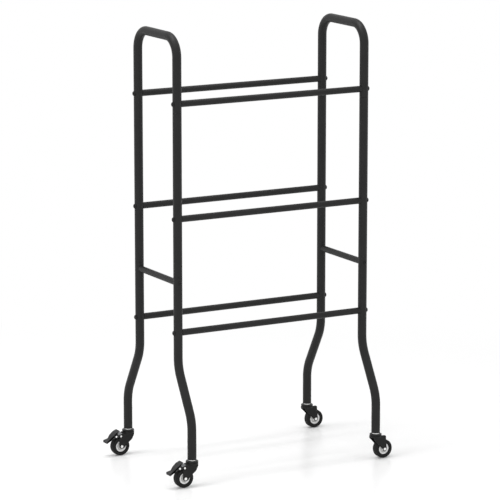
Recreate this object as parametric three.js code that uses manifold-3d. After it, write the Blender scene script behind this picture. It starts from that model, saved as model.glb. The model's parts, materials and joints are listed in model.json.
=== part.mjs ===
// Rolling rack of round steel tube: two end frames with looped handles, joined by six rails on three
// tiers. Each foot stands on a swivel caster, and the two left casters have a foot brake.
// Millimetres, +X to the right, +Y to the rear, +Z up, origin on the floor under the middle.
import Module from "manifold-3d";
import * as THREE from "three";
import { mergeVertices } from "three/addons/utils/BufferGeometryUtils.js";

// Frame: spacings between centrelines, heights above the floor
const legSpacing = 570;
const legDepth = 222.5;
const lowerRailHeight = 401.3;
const tierSpacing = 306;
const handleRise = 173.7;
const endBarRise = 135;
const upperSeamDrop = 22.5;
const lowerSeamRise = 17.5;

// Bends, on the centreline of the tube
const handleBendRadius = 52;
const legBendRadius = 100;
const legBendAngle = Math.PI / 6;
const legBendDrop = 67.5;
const footSplay = 75.5;

// Tubes, with their swaged spigots, the inserts in the rail ends and the plug in the foot
const legDiameter = 24;
const legWall = 1.2;
const spigotLength = 40;
const swageLength = 3;
const railDiameter = 17.4;
const railWall = 1.2;
const endBarDiameter = 17;
const endBarWall = 1.2;
const insertLength = 24;
const plugLength = 32;

// Dome head bolts
const railBoltDiameter = 6;
const railBoltHeadDiameter = 13;
const railBoltHeadHeight = 3.4;
const endBarBoltDiameter = 5;
const endBarBoltHeadDiameter = 10;
const endBarBoltHeadHeight = 2.8;
const boltReach = 20;
const boltRimHeight = 1;

// Clearances
const fitGap = 0.3;
const runningGap = 0.4;
const cutOverrun = 5;
const weldOverlap = 0.3;
const mergeDistance = 0.001;

// Wheel
const tyreDiameter = 52.5;
const tyreWidth = 21;
const tyreShoulder = 4;
const tyreBeadInset = 1.8;
const hubDiameter = 32.4;
const hubRimWidth = 14;
const hubRimThickness = 2;
const hubDishWidth = 7;
const hubBossDiameter = 12;
const axleDiameter = 6.4;
const axleHeadDiameter = 8;
const axleHeadHeight = 1.3;

// Caster fork and stem; a fork without a brake carries its wheel closer in, on slimmer cheeks
const brakedTrail = 26;
const plainTrail = 21.8;
const brakedTipRadius = 7.5;
const plainTipRadius = 6;
const forkSheet = 2;
const wheelSideGap = 1;
const wheelTopGap = 7.87;
const headDiameter = 33.7;
const headHeight = 9.9;
const headWall = 5.4;
const headShoulder = 3;
const headTopThickness = 3;
const bridgeDrop = 7.4;
const ringDiameter = 19.5;
const ringHeight = 2.3;
const stemDiameter = 10;
const stemRise = 30;
const raceThickness = 2.6;
const rivetDiameter = 12;
const rivetHeight = 2;
const hoodDrop = 2.1;
const hoodLength = 8.55;
const hoodCorner = 2;
const hoodDepth = 5;
const crestRise = 4.4;

// Foot brake: its pin lies just over the tyre, and the pedal is set out from the pin, with reaches
// measured from the stem axis towards the wheel
const brakePinReach = 28.4;
const brakePinGap = 0.92;
const brakePinDiameter = 4.6;
const brakePinHeadDiameter = 5.6;
const brakePinHeadHeight = 0.9;
const shoeReach = 13.8;
const shoeDiameter = 7;
const pinEarWall = 1.5;
const shoeEarRadius = 3.2;
const earThickness = 1.4;
const pedalSideGap = 0.7;
const pedalSheet = 1.6;
const pedalFlangeSheet = 1.2;
const pedalTopReach = 31.6;
const pedalTopRise = 15.55;
const pedalReach = 71.1;
const pedalTipDrop = 10.4;
const pedalLip = 6.2;
const pedalRearGap = 1.5;
const leafThickness = 0.8;
const leafTab = 4;
const leafCrestReach = 22.5;
const leafRise = 2.6;
const leafSideGap = 0.6;

// Outlines as shares of the sizes above
const brakedFrontShares = [[-0.455, 1], [-0.455, 0.84], [-0.2, 0.485], [0.112, 0.32]];
const brakedRearShares = [[1.26, 0.75], [1.21, 0.88], [1, 0.95], [0.36, 0.95], [0.36, 1]];
const plainFrontShares = [[-0.59, 1], [-0.55, 0.8], [-0.23, 0.62], [0.16, 0.36]];
const crestShares = [[1, 0.25], [0.96, 0.45], [0.71, 1], [0.55, 0.62], [0.41, 0.45]];
const pedalKneeShares = [[0.278, 0.82], [0.52, 0.485], [0.666, 0.123]];
const flangeDepthShare = 0.55;
const flangeStartShare = 0.76;

// Facets
const tubeSides = 12;
const boltSides = 8;
const wheelSides = 20;
const turnedSides = 12;
const handleBendSteps = 5;
const legBendSteps = 3;
const domeSteps = 2;
const shoulderSteps = 2;
const arcSteps = 5;

// Sizes that follow
const legRadius = legDiameter / 2;
const legBore = legRadius - legWall;
const spigotRadius = legBore - fitGap;
const tierNames = ["lower", "middle", "top"];
const railHeights = tierNames.map((_, tier) => lowerRailHeight + tier * tierSpacing);
const topRailHeight = railHeights.at(-1);
const endBarHeight = lowerRailHeight + endBarRise;
const upperSeam = topRailHeight - upperSeamDrop;
const lowerSeam = endBarHeight + lowerSeamRise;
const handleTop = topRailHeight + handleRise;
const railHoleRadius = railBoltDiameter / 2 + fitGap;
const endBarHoleRadius = endBarBoltDiameter / 2 + fitGap;
const tyreRadius = tyreDiameter / 2;
const axleHeight = tyreRadius * Math.cos(Math.PI / wheelSides);
const forkInside = tyreWidth / 2 + wheelSideGap;
const forkOutside = forkInside + forkSheet;
const headBottom = axleHeight + tyreRadius + wheelTopGap;
const headTop = headBottom + headHeight;
const ringBottom = headTop + fitGap;
const legEndHeight = ringBottom + ringHeight + fitGap;
const headRadius = headDiameter / 2;
const bridgeTop = headTop - bridgeDrop;
const bridgeUnderside = bridgeTop - forkSheet;
const forkCeiling = Math.min(headBottom, bridgeUnderside);
const brakedRear = brakedTrail + brakedTipRadius;
const hoodBack = headRadius + hoodLength;
const brakePinRadius = brakePinDiameter / 2;
const brakePinHeight = axleHeight + tyreRadius + brakePinGap + brakePinRadius;
const pedalTopHeight = brakePinHeight + pedalTopRise;
const pedalTipHeight = brakePinHeight - pedalTipDrop;
const shoeCentre = brakePinReach + shoeReach;
const pedalInside = forkInside - pedalSideGap;
const pedalOutside = pedalInside + pedalFlangeSheet;

const library = await Module();
library.setup();

const sides = [
  { name: "left", sign: -1 },
  { name: "right", sign: 1 },
];
const ends = [
  { name: "front", sign: -1 },
  { name: "rear", sign: 1 },
];

// Finishes
const blackSteel = { color: 0x303030, roughness: 0.5, metalness: 0.2 };
const blackBolt = { color: 0x262626, roughness: 0.4, metalness: 0.5 };
const zinc = { color: 0xc9cacb, roughness: 0.3, metalness: 0.9 };
const brightPin = { color: 0xe8e8e8, roughness: 0.25, metalness: 0.9 };
const greyPlastic = { color: 0xe3e4e6, roughness: 0.45, metalness: 0 };
const rubber = { color: 0x2a2a2a, roughness: 0.8, metalness: 0 };
const pedalPaint = { color: 0x4c4c4e, roughness: 0.55, metalness: 0.2 };

function piece(name, geometry, finish) {
  const mesh = new THREE.Mesh(geometry, new THREE.MeshStandardMaterial(finish));
  mesh.name = name;
  return mesh;
}

function solidOf(geometry) {
  const bare = geometry.clone();
  bare.deleteAttribute("normal");
  bare.deleteAttribute("uv");
  const merged = mergeVertices(bare, mergeDistance);
  const vertProperties = merged.attributes.position.array;
  const triVerts = new Uint32Array(merged.index.array);
  return new library.Manifold(new library.Mesh({ numProp: 3, vertProperties, triVerts }));
}

function geometryOf(solid) {
  const { vertProperties, triVerts } = solid.getMesh();
  const geometry = new THREE.BufferGeometry();
  geometry.setAttribute("position", new THREE.BufferAttribute(vertProperties, 3));
  geometry.setIndex(new THREE.BufferAttribute(triVerts, 1));
  geometry.computeVertexNormals();
  return geometry;
}

// Cuts any number of geometries out of the first one
function cut(geometry, ...tools) {
  const rest = tools.reduce((solid, tool) => solid.subtract(solidOf(tool)), solidOf(geometry));
  return geometryOf(rest);
}

function join(...geometries) {
  return geometryOf(geometries.map(solidOf).reduce((whole, part) => whole.add(part)));
}

// Revolves [radius, height] points about Z; a hollow profile comes back to its first point
function turned(profile, count = turnedSides) {
  const points = profile.map(([radius, height]) => new THREE.Vector2(radius, height));
  return new THREE.LatheGeometry(points, count).rotateX(Math.PI / 2);
}

function rod(radius, bottom, top, count = turnedSides) {
  const profile = [[0, bottom], [radius, bottom], [radius, top], [0, top]];
  return turned(profile, count);
}

// The part of a profile on one side of the middle, followed by its mirror image
function mirrored(profile) {
  const other = profile.map(([radius, height]) => [radius, -height]).reverse();
  return [...profile, ...other];
}

function ringShape(radius, bore) {
  const circle = (size) =>
    Array.from({ length: tubeSides }, (_, i) => {
      const angle = (2 * Math.PI * i) / tubeSides;
      return new THREE.Vector2(size * Math.cos(angle), size * Math.sin(angle));
    });
  const shape = new THREE.Shape(circle(radius));
  shape.holes.push(new THREE.Path(circle(bore)));
  return shape;
}

// A stop on a tube's route in the YZ plane; lean is the angle from straight down towards +Y
function station(y, z, lean) {
  const point = new THREE.Vector3(0, y, z);
  const tangent = new THREE.Vector3(0, Math.sin(lean), -Math.cos(lean));
  return { point, tangent };
}

// A route known by its stations alone, so that a straight stretch needs only its two ends
class Route extends THREE.Curve {
  constructor(stations) {
    super();
    this.stations = stations;
  }
  stationAt(share) {
    return this.stations[Math.round(share * (this.stations.length - 1))];
  }
  getPointAt(share) {
    return this.stationAt(share).point.clone();
  }
  getTangentAt(share) {
    return this.stationAt(share).tangent.clone();
  }
}

function tubeAlong(stations) {
  return new THREE.ExtrudeGeometry(ringShape(legRadius, legBore), {
    steps: stations.length - 1,
    bevelEnabled: false,
    extrudePath: new Route(stations),
  });
}

// Cutters for the bolt holes through a leg that stands at the origin of X
function holeAlongX(radius, y, z) {
  const length = legDiameter + cutOverrun;
  return new THREE.CylinderGeometry(radius, radius, length, boltSides)
    .rotateZ(Math.PI / 2)
    .translate(0, y, z);
}

function holeAlongY(radius, z) {
  const length = legDiameter + cutOverrun;
  return new THREE.CylinderGeometry(radius, radius, length, boltSides).translate(0, 0, z);
}

function handle() {
  const half = legDepth / 2;
  const bendStart = handleTop - handleBendRadius;
  const arc = Array.from({ length: handleBendSteps + 1 }, (_, i) => {
    const angle = ((Math.PI / 2) * i) / handleBendSteps;
    const inset = handleBendRadius * (1 - Math.cos(angle));
    return { angle, inset, z: bendStart + handleBendRadius * Math.sin(angle) };
  });
  const rising = arc.map(({ angle, inset, z }) => station(inset - half, z, Math.PI - angle));
  const falling = arc.map(({ angle, inset, z }) => station(half - inset, z, angle)).reverse();
  const foot = upperSeam + fitGap;
  const stations = [station(-half, foot, Math.PI), ...rising, ...falling, station(half, foot, 0)];
  const holes = ends.map(({ sign }) => holeAlongX(railHoleRadius, sign * half, topRailHeight));
  return cut(tubeAlong(stations), ...holes);
}

// A straight tube whose two ends are swaged down to slide into the handle and into the lower leg
function midTube() {
  const spigotBore = spigotRadius - legWall;
  const profile = [
    [spigotRadius, lowerSeam - spigotLength],
    [spigotRadius, lowerSeam],
    [legRadius, lowerSeam],
    [legRadius, upperSeam],
    [spigotRadius, upperSeam],
    [spigotRadius, upperSeam + spigotLength],
    [spigotBore, upperSeam + spigotLength],
    [spigotBore, upperSeam - swageLength],
    [legBore, upperSeam - 2 * swageLength],
    [legBore, lowerSeam + 2 * swageLength],
    [spigotBore, lowerSeam + swageLength],
    [spigotBore, lowerSeam - spigotLength],
    [spigotRadius, lowerSeam - spigotLength],
  ];
  const railHoles = railHeights.slice(1).map((height) => holeAlongX(railHoleRadius, 0, height));
  return cut(turned(profile, tubeSides), ...railHoles, holeAlongY(endBarHoleRadius, endBarHeight));
}

// The centreline of a lower leg: down, out along +Y through two equal bends, and down again
function legStations() {
  const sweep = legBendRadius * (1 - Math.cos(legBendAngle));
  const slant = (footSplay - 2 * sweep) / Math.sin(legBendAngle);
  const bendTop = lowerRailHeight - legBendDrop;
  const bendHeight = 2 * legBendRadius * Math.sin(legBendAngle) + slant * Math.cos(legBendAngle);
  const bendBottom = bendTop - bendHeight;
  const arc = Array.from({ length: legBendSteps + 1 }, (_, i) => {
    const angle = (legBendAngle * i) / legBendSteps;
    return { angle, out: legBendRadius * (1 - Math.cos(angle)), fall: legBendRadius * Math.sin(angle) };
  });
  const leaving = arc.map(({ angle, out, fall }) => station(out, bendTop - fall, angle));
  const landing = arc.map(({ angle, out, fall }) => station(footSplay - out, bendBottom + fall, angle));
  const top = station(0, lowerSeam - fitGap, 0);
  return [top, ...leaving, ...landing.reverse(), station(footSplay, legEndHeight, 0)];
}

// A lower leg with the plug welded in its foot, bored for the caster stem
function lowerLeg() {
  const bore = stemDiameter / 2 + fitGap;
  const weld = legRadius - legWall / 2;
  const plugTop = legEndHeight + plugLength;
  const plug = turned(
    [[bore, legEndHeight], [weld, legEndHeight], [weld, plugTop], [bore, plugTop], [bore, legEndHeight]],
    tubeSides,
  ).translate(0, footSplay, 0);
  const railHole = holeAlongX(railHoleRadius, 0, lowerRailHeight);
  const barHole = holeAlongY(endBarHoleRadius, endBarHeight);
  return cut(join(tubeAlong(legStations()), plug), railHole, barHole);
}

// A tube along Z between two legs, coped to both and with a threaded insert in each end
function crossTube(length, radius, wall, holeRadius) {
  const middle = length / 2;
  const insertEnd = middle - legRadius - fitGap - insertLength;
  const profile = [
    [radius, -middle],
    [radius, middle],
    [holeRadius, middle],
    [holeRadius, insertEnd],
    [radius - wall, insertEnd],
    [radius - wall, -insertEnd],
    [holeRadius, -insertEnd],
    [holeRadius, -middle],
    [radius, -middle],
  ];
  const cope = legRadius + fitGap;
  const saddles = [-middle, middle].map((z) =>
    rod(cope, -legDiameter, legDiameter, tubeSides).rotateY(Math.PI / 2).translate(0, 0, z),
  );
  return cut(turned(profile, tubeSides), ...saddles);
}

function rail() {
  return crossTube(legSpacing, railDiameter / 2, railWall, railHoleRadius).rotateY(Math.PI / 2);
}

function endBar() {
  const tube = crossTube(legDepth, endBarDiameter / 2, endBarWall, endBarHoleRadius);
  return tube.rotateY(Math.PI / 2).rotateZ(Math.PI / 2);
}

// A bolt along +X through a leg at the origin; its domed head is cupped underneath to fit the tube
function bolt(radius, headRadius, headHeight) {
  const seat = legRadius + fitGap;
  const rim = seat + boltRimHeight;
  const dome = Array.from({ length: domeSteps + 1 }, (_, i) => {
    const angle = ((Math.PI / 2) * i) / domeSteps;
    const height = rim + (headHeight - boltRimHeight) * Math.sin(angle);
    return [headRadius * Math.cos(angle), height];
  });
  dome[domeSteps][0] = 0;
  const headProfile = [[0, seat - headRadius / 2], [headRadius, seat - headRadius / 2], ...dome];
  const legSurface = rod(seat, -legDiameter, legDiameter, tubeSides).rotateX(Math.PI / 2);
  const head = cut(turned(headProfile, boltSides), legSurface);
  const shank = rod(radius, -(legRadius + boltReach), rim, boltSides);
  return join(head, shank).rotateX(Math.PI / 2).rotateZ(Math.PI / 2);
}

// The stem with its bright ring under the tube end, its race inside the fork head and its rivet
function stem() {
  const radius = stemDiameter / 2;
  const raceTop = headTop - headTopThickness - fitGap;
  const raceBottom = raceTop - raceThickness;
  const race = headRadius - headWall - runningGap;
  return turned([
    [0, raceBottom - rivetHeight],
    [rivetDiameter / 2, raceBottom - rivetHeight],
    [rivetDiameter / 2, raceBottom],
    [race, raceBottom],
    [race, raceTop],
    [radius, raceTop],
    [radius, ringBottom],
    [ringDiameter / 2, ringBottom],
    [ringDiameter / 2, ringBottom + ringHeight],
    [radius, ringBottom + ringHeight],
    [radius, legEndHeight + stemRise],
    [0, legEndHeight + stemRise],
  ]);
}

// Extrudes an outline of [reach, height] points, reach towards -X, over a band of Y
function plate(outline, from, to) {
  const shape = new THREE.Shape(outline.map(([reach, height]) => new THREE.Vector2(-reach, height)));
  return new THREE.ExtrudeGeometry(shape, { depth: to - from, bevelEnabled: false })
    .rotateX(Math.PI / 2)
    .translate(0, to, 0);
}

// A pin along Y with a head at each end
function pin(radius, headRadius, half, headHeight, reach, height) {
  const face = half + headHeight;
  const end = [[0, -face], [headRadius / 2, -face], [headRadius, -(half + face) / 2], [headRadius, -half]];
  const profile = mirrored([...end, [radius, -half]]);
  return turned(profile, boltSides).rotateX(-Math.PI / 2).translate(-reach, 0, height);
}

// Points on an arc, by reach and height, between two angles
function arcPoints(reach, height, radius, from, to) {
  return Array.from({ length: arcSteps + 1 }, (_, i) => {
    const angle = from + ((to - from) * i) / arcSteps;
    return [reach + radius * Math.cos(angle), height + radius * Math.sin(angle)];
  });
}

// One cheek: down its front, round the axle and up its rear
function cheekOutline(braked, trail, tipRadius) {
  const rise = bridgeTop - axleHeight;
  const scaled = (shares) => shares.map(([x, z]) => [x * trail, axleHeight + z * rise]);
  const front = scaled(braked ? brakedFrontShares : plainFrontShares);
  const tip = arcPoints(trail, axleHeight, tipRadius, Math.PI, 2 * Math.PI);
  const rear = braked ? scaled(brakedRearShares) : [[hoodBack, bridgeTop]];
  return [...front, ...tip, ...rear];
}

function boxCut(fromReach, toReach, halfWidth, bottom, top) {
  const outline = [[fromReach, bottom], [toReach, bottom], [toReach, top], [fromReach, top]];
  return plate(outline, -halfWidth, halfWidth);
}

// The stamped hood that closes the back of a fork without a brake
function hood() {
  const inner = headRadius - headWall / 2;
  const top = bridgeTop - hoodDrop;
  const bottom = top - hoodDepth;
  const shell = (inset, from) => [
    [from, bottom - inset],
    [hoodBack - inset, bottom - inset],
    [hoodBack - inset, top - hoodCorner - inset],
    [hoodBack - hoodCorner - inset, top - inset],
    [from, top - inset],
  ];
  const outside = plate(shell(0, inner), -forkOutside, forkOutside);
  return cut(outside, plate(shell(forkSheet, inner - cutOverrun), -forkInside, forkInside));
}

// The raised crest of each cheek behind the head of a fork without a brake
function crests() {
  const top = crestShares.map(([x, z]) => [x * hoodBack, bridgeTop + z * crestRise]);
  const outline = [[top.at(-1)[0], bridgeUnderside], [hoodBack, bridgeUnderside], ...top];
  return [plate(outline, -forkOutside, -forkInside), plate(outline, forkInside, forkOutside)];
}

// Outside of the fork head, with its rounded upper edge
function headProfile() {
  const rim = headRadius - headShoulder;
  const bulge = headRadius - headShoulder / 3;
  return [
    [0, headBottom],
    [headRadius, headBottom],
    [headRadius, headTop - headShoulder],
    [bulge, headTop - headShoulder / 3],
    [rim, headTop],
    [0, headTop],
  ];
}

function fork(braked, trail) {
  const tipRadius = braked ? brakedTipRadius : plainTipRadius;
  const rear = trail + tipRadius + cutOverrun;
  const body = plate(cheekOutline(braked, trail, tipRadius), -forkOutside, forkOutside);
  const head = turned(headProfile(), wheelSides);
  const cup = rod(headRadius - headWall, headBottom - cutOverrun, headTop - headTopThickness, wheelSides);
  const neck = rod(stemDiameter / 2 + runningGap, headBottom, headTop + cutOverrun);
  const wheelSpace = boxCut(-headRadius, rear, forkInside, 0, forkCeiling);
  const backSpace = boxCut(headRadius, rear, forkInside, 0, bridgeTop + cutOverrun);
  const axleHole = crossHole(axleDiameter / 2 + fitGap, trail, axleHeight);
  const pinHole = crossHole(brakePinRadius + fitGap, brakePinReach, brakePinHeight);
  const open = cut(join(body, head), cup, neck, wheelSpace, backSpace, axleHole);
  return braked ? cut(open, pinHole) : join(open, hood(), ...crests());
}

function crossHole(radius, reach, height) {
  const half = forkOutside + cutOverrun;
  return rod(radius, -half, half, boltSides).rotateX(-Math.PI / 2).translate(-reach, 0, height);
}

// Wheel solids turn about Y through the axle, with a flat facet on the floor
function wheelPart(profile, trail) {
  return turned(profile, wheelSides)
    .rotateX(-Math.PI / 2)
    .rotateY(Math.PI / wheelSides)
    .translate(-trail, 0, axleHeight);
}

function tyre(trail) {
  const bead = hubDiameter / 2 + fitGap;
  const half = tyreWidth / 2;
  const shoulder = Array.from({ length: shoulderSteps + 1 }, (_, i) => {
    const angle = ((Math.PI / 2) * i) / shoulderSteps;
    const radius = tyreRadius - tyreShoulder * (1 - Math.sin(angle));
    return [radius, -half + tyreShoulder * (1 - Math.cos(angle))];
  });
  const profile = mirrored([[bead, tyreBeadInset - half], ...shoulder]);
  return wheelPart([...profile, profile[0]], trail);
}

function hub(trail) {
  const bore = axleDiameter / 2 + runningGap;
  const boss = hubBossDiameter / 2;
  const rim = hubDiameter / 2;
  const face = forkInside - fitGap;
  const profile = mirrored([
    [bore, -face],
    [boss, -face],
    [boss, -hubDishWidth / 2],
    [rim - 2 * hubRimThickness, -hubDishWidth / 2],
    [rim - hubRimThickness, -hubRimWidth / 2],
    [rim, -hubRimWidth / 2],
  ]);
  return wheelPart([...profile, profile[0]], trail);
}

function axle(trail) {
  return pin(axleDiameter / 2, axleHeadDiameter / 2, forkOutside + fitGap, axleHeadHeight, trail, axleHeight);
}

// The small headed pin of the brake, seated at a half width from the middle of the caster
function headedPin(half, reach) {
  return pin(brakePinRadius, brakePinHeadDiameter / 2, half, brakePinHeadHeight, reach, brakePinHeight);
}

// Top face of the pedal from its inner end out to the tip, as [reach, height]
function pedalLine() {
  const run = pedalReach - pedalTopReach;
  const fall = pedalTopHeight - pedalTipHeight;
  const knees = pedalKneeShares.map(([x, z]) => [pedalTopReach + x * run, pedalTipHeight + z * fall]);
  return [[pedalTopReach, pedalTopHeight], ...knees, [pedalReach, pedalTipHeight]];
}

// The pedal: a bent tread plate with a lip, two side flanges, two ears on the pivot pin and the shoe
function brakePedal() {
  const line = pedalLine();
  const under = line.map(([x, z]) => [x - pedalSheet / 2, z - pedalSheet]).reverse();
  const lip = [[pedalReach, pedalTipHeight - pedalLip], [pedalReach - pedalSheet, pedalTipHeight - pedalLip]];
  const tread = plate([...line, ...lip, ...under], -pedalOutside, pedalOutside);
  const [top, shoulder, knee, bend] = line;
  const low = brakePinHeight - shoeEarRadius;
  const depth = top[1] - brakePinHeight;
  const start = top.map((value, i) => value + (shoulder[i] - value) * flangeStartShare);
  const tip = pedalReach - pedalSheet / 2;
  const flange = [
    start,
    shoulder,
    knee,
    bend,
    [tip, pedalTipHeight - pedalSheet / 2],
    [tip, pedalTipHeight - pedalLip],
    [knee[0], knee[1] - depth * flangeDepthShare],
    [shoeCentre, low],
    [brakedRear + pedalRearGap, low],
    [brakedRear + pedalRearGap, low + 2 * shoeEarRadius],
  ];
  const pinEarRadius = brakePinRadius + pinEarWall;
  const earOutline = [
    ...arcPoints(brakePinReach, brakePinHeight, pinEarRadius, Math.PI / 2, (3 * Math.PI) / 2),
    ...arcPoints(shoeCentre, brakePinHeight, shoeEarRadius, -Math.PI / 2, Math.PI / 2),
  ];
  const parts = ends.flatMap(({ sign }) => {
    const band = (from, to) => [Math.min(sign * from, sign * to), Math.max(sign * from, sign * to)];
    return [
      plate(flange, ...band(pedalInside, pedalOutside)),
      plate(earOutline, ...band(pedalInside - earThickness, pedalInside + weldOverlap)),
    ];
  });
  const shoe = rod(shoeDiameter / 2, -pedalInside, pedalInside, boltSides)
    .rotateX(-Math.PI / 2)
    .translate(-shoeCentre, 0, brakePinHeight);
  const shoePin = headedPin(pedalOutside, shoeCentre);
  const pivot = crossHole(brakePinRadius + fitGap, brakePinReach, brakePinHeight);
  return cut(join(tread, ...parts, shoe, shoePin), pivot);
}

// The leaf spring that runs from under the fork head, arched over the brake pin, to the brake shoe
function brakeLeaf() {
  const high = forkCeiling - fitGap;
  const low = brakePinHeight + brakePinRadius + fitGap + leafThickness;
  const topLine = [
    [headRadius - leafTab, high],
    [headRadius + fitGap, high],
    [leafCrestReach, high + leafRise],
    [brakePinReach + brakePinRadius, low],
    [shoeCentre - shoeDiameter / 2 - fitGap, low],
  ];
  const underLine = topLine.map(([x, z]) => [x, z - leafThickness]).reverse();
  const half = pedalInside - earThickness - leafSideGap;
  return plate([...topLine, ...underLine], -half, half);
}

// A whole caster about the stem axis, wheel towards -X
function caster(place, braked) {
  const trail = braked ? brakedTrail : plainTrail;
  const group = new THREE.Group();
  group.add(piece(`caster_stem_${place}`, stem(), zinc));
  group.add(piece(`caster_fork_${place}`, fork(braked, trail), blackSteel));
  group.add(piece(`caster_axle_${place}`, axle(trail), brightPin));
  group.add(piece(`wheel_hub_${place}`, hub(trail), greyPlastic));
  group.add(piece(`wheel_tyre_${place}`, tyre(trail), rubber));
  if (braked) {
    group.add(piece(`brake_pedal_${place}`, brakePedal(), pedalPaint));
    group.add(piece(`brake_pin_${place}`, headedPin(forkOutside + fitGap, brakePinReach), brightPin));
    group.add(piece(`brake_leaf_${place}`, brakeLeaf(), zinc));
  }
  return group;
}

// One corner of the frame: its tubes, its bolts and its caster
function corner(side, end) {
  const place = `${end.name}_${side.name}`;
  const group = new THREE.Group();
  group.position.set((side.sign * legSpacing) / 2, (end.sign * legDepth) / 2, 0);
  group.add(piece(`mid_tube_${place}`, midTube(), blackSteel));
  const leg = piece(`lower_leg_${place}`, lowerLeg(), blackSteel);
  leg.rotation.z = end.sign > 0 ? 0 : Math.PI;
  group.add(leg);
  railHeights.forEach((height, tier) => {
    const geometry = bolt(railBoltDiameter / 2, railBoltHeadDiameter / 2, railBoltHeadHeight);
    const railBolt = piece(`rail_bolt_${tierNames[tier]}_${place}`, geometry, blackBolt);
    railBolt.position.z = height;
    railBolt.rotation.z = side.sign > 0 ? 0 : Math.PI;
    group.add(railBolt);
  });
  const barGeometry = bolt(endBarBoltDiameter / 2, endBarBoltHeadDiameter / 2, endBarBoltHeadHeight);
  const barBolt = piece(`end_bar_bolt_${place}`, barGeometry, blackBolt);
  barBolt.position.z = endBarHeight;
  barBolt.rotation.z = (end.sign * Math.PI) / 2;
  group.add(barBolt);
  const foot = caster(place, side.name === "left");
  foot.position.y = end.sign * footSplay;
  foot.rotation.z = side.sign > 0 ? Math.PI : 0;
  group.add(foot);
  return group;
}

function endFrame(side) {
  const group = new THREE.Group();
  const x = (side.sign * legSpacing) / 2;
  const loop = piece(`handle_${side.name}`, handle(), blackSteel);
  loop.position.x = x;
  const bar = piece(`end_bar_${side.name}`, endBar(), blackSteel);
  bar.position.set(x, 0, endBarHeight);
  group.add(loop, bar, ...ends.map((end) => corner(side, end)));
  return group;
}

function rails() {
  return ends.flatMap((end) =>
    railHeights.map((height, tier) => {
      const mesh = piece(`rail_${tierNames[tier]}_${end.name}`, rail(), blackSteel);
      mesh.position.set(0, (end.sign * legDepth) / 2, height);
      return mesh;
    }),
  );
}

// The pedals reach further than the wheels of the other side, so the frame stands off centre
const rack = new THREE.Group();
const leftReach = Math.max(pedalReach, brakedTrail + tyreRadius);
const rightReach = plainTrail + tyreRadius;
rack.position.x = (leftReach - rightReach) / 2;
rack.add(...sides.map(endFrame), ...rails());

const part = new THREE.Group();
part.add(rack);

export default part;
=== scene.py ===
"""The finished surfaces of a rolling ball cart: round steel tube, dome head bolts and swivel casters.

Every piece is a surface worked out in metres in the cart's own frame: +X along the rails, +Y to the rear,
+Z up, with the floor at zero. Each one covers the plain solid of the same part and moves with its body.
"""

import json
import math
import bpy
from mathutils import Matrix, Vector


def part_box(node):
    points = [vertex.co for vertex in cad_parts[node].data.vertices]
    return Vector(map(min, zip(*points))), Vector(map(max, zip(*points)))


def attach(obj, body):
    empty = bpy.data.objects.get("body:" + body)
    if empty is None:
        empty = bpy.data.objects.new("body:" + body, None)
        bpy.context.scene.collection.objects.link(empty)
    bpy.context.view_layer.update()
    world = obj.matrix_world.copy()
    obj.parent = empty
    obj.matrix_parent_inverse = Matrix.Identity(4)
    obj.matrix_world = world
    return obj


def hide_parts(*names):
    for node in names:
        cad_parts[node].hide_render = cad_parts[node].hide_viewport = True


bl_info = {
    "name": "Ball cart",
    "version": (1, 0, 0),
    "blender": (4, 5, 0),
    "location": "View3D > Sidebar > Ball cart",
    "description": "Makes the tubes, bolts, casters and studio of a rolling ball cart",
    "category": "Object",
}

import bpy
import numpy as np
from bpy.props import FloatProperty, FloatVectorProperty, PointerProperty
from bpy.types import Operator, Panel, PropertyGroup

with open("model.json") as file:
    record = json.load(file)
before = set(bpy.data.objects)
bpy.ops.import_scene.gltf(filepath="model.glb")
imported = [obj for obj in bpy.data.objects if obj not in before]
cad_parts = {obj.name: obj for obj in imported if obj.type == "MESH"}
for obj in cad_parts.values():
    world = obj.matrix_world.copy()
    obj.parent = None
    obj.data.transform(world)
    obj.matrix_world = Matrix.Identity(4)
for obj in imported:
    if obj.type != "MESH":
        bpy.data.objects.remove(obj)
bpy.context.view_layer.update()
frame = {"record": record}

ENDS = {"front": -1, "rear": 1}
SIDES = {"left": -1, "right": 1}
TIERS = ("lower", "middle", "top")
PLACES = {f"{end}_{side}": (end, side) for side in SIDES for end in ENDS}
BODY_OF = {node: body for body, nodes in frame["record"]["behaviour"]["bodies"].items() for node in nodes}


def mm(value):
    """Millimetres to metres."""
    return value / 1000


def linear(hex_colour):
    """An sRGB hex colour as linear red, green and blue."""
    srgb = np.array([int(hex_colour[i : i + 2], 16) for i in (1, 3, 5)]) / 255
    return tuple(np.where(srgb <= 0.04045, srgb / 12.92, ((srgb + 0.055) / 1.055) ** 2.4))


def span(node, axis):
    """How far a node reaches along an axis, in millimetres."""
    low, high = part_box(node)
    return (high - low)["XYZ".index(axis)] * 1000


def length(name, description, default):
    """A length property, with its default in millimetres."""
    return FloatProperty(name=name, description=description, default=mm(default), unit="LENGTH")


def colour(name, description, default):
    """A colour property, with its default as sRGB hex."""
    return FloatVectorProperty(
        name=name, description=description, default=linear(default), subtype="COLOR", size=3, min=0, max=1
    )


def roundings(name, description, *defaults):
    """A property with one rounding for each corner of an outline, with its defaults in millimetres."""
    values = [mm(value) for value in defaults]
    return FloatVectorProperty(
        name=name, description=description, default=values, size=len(values), unit="LENGTH"
    )


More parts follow.
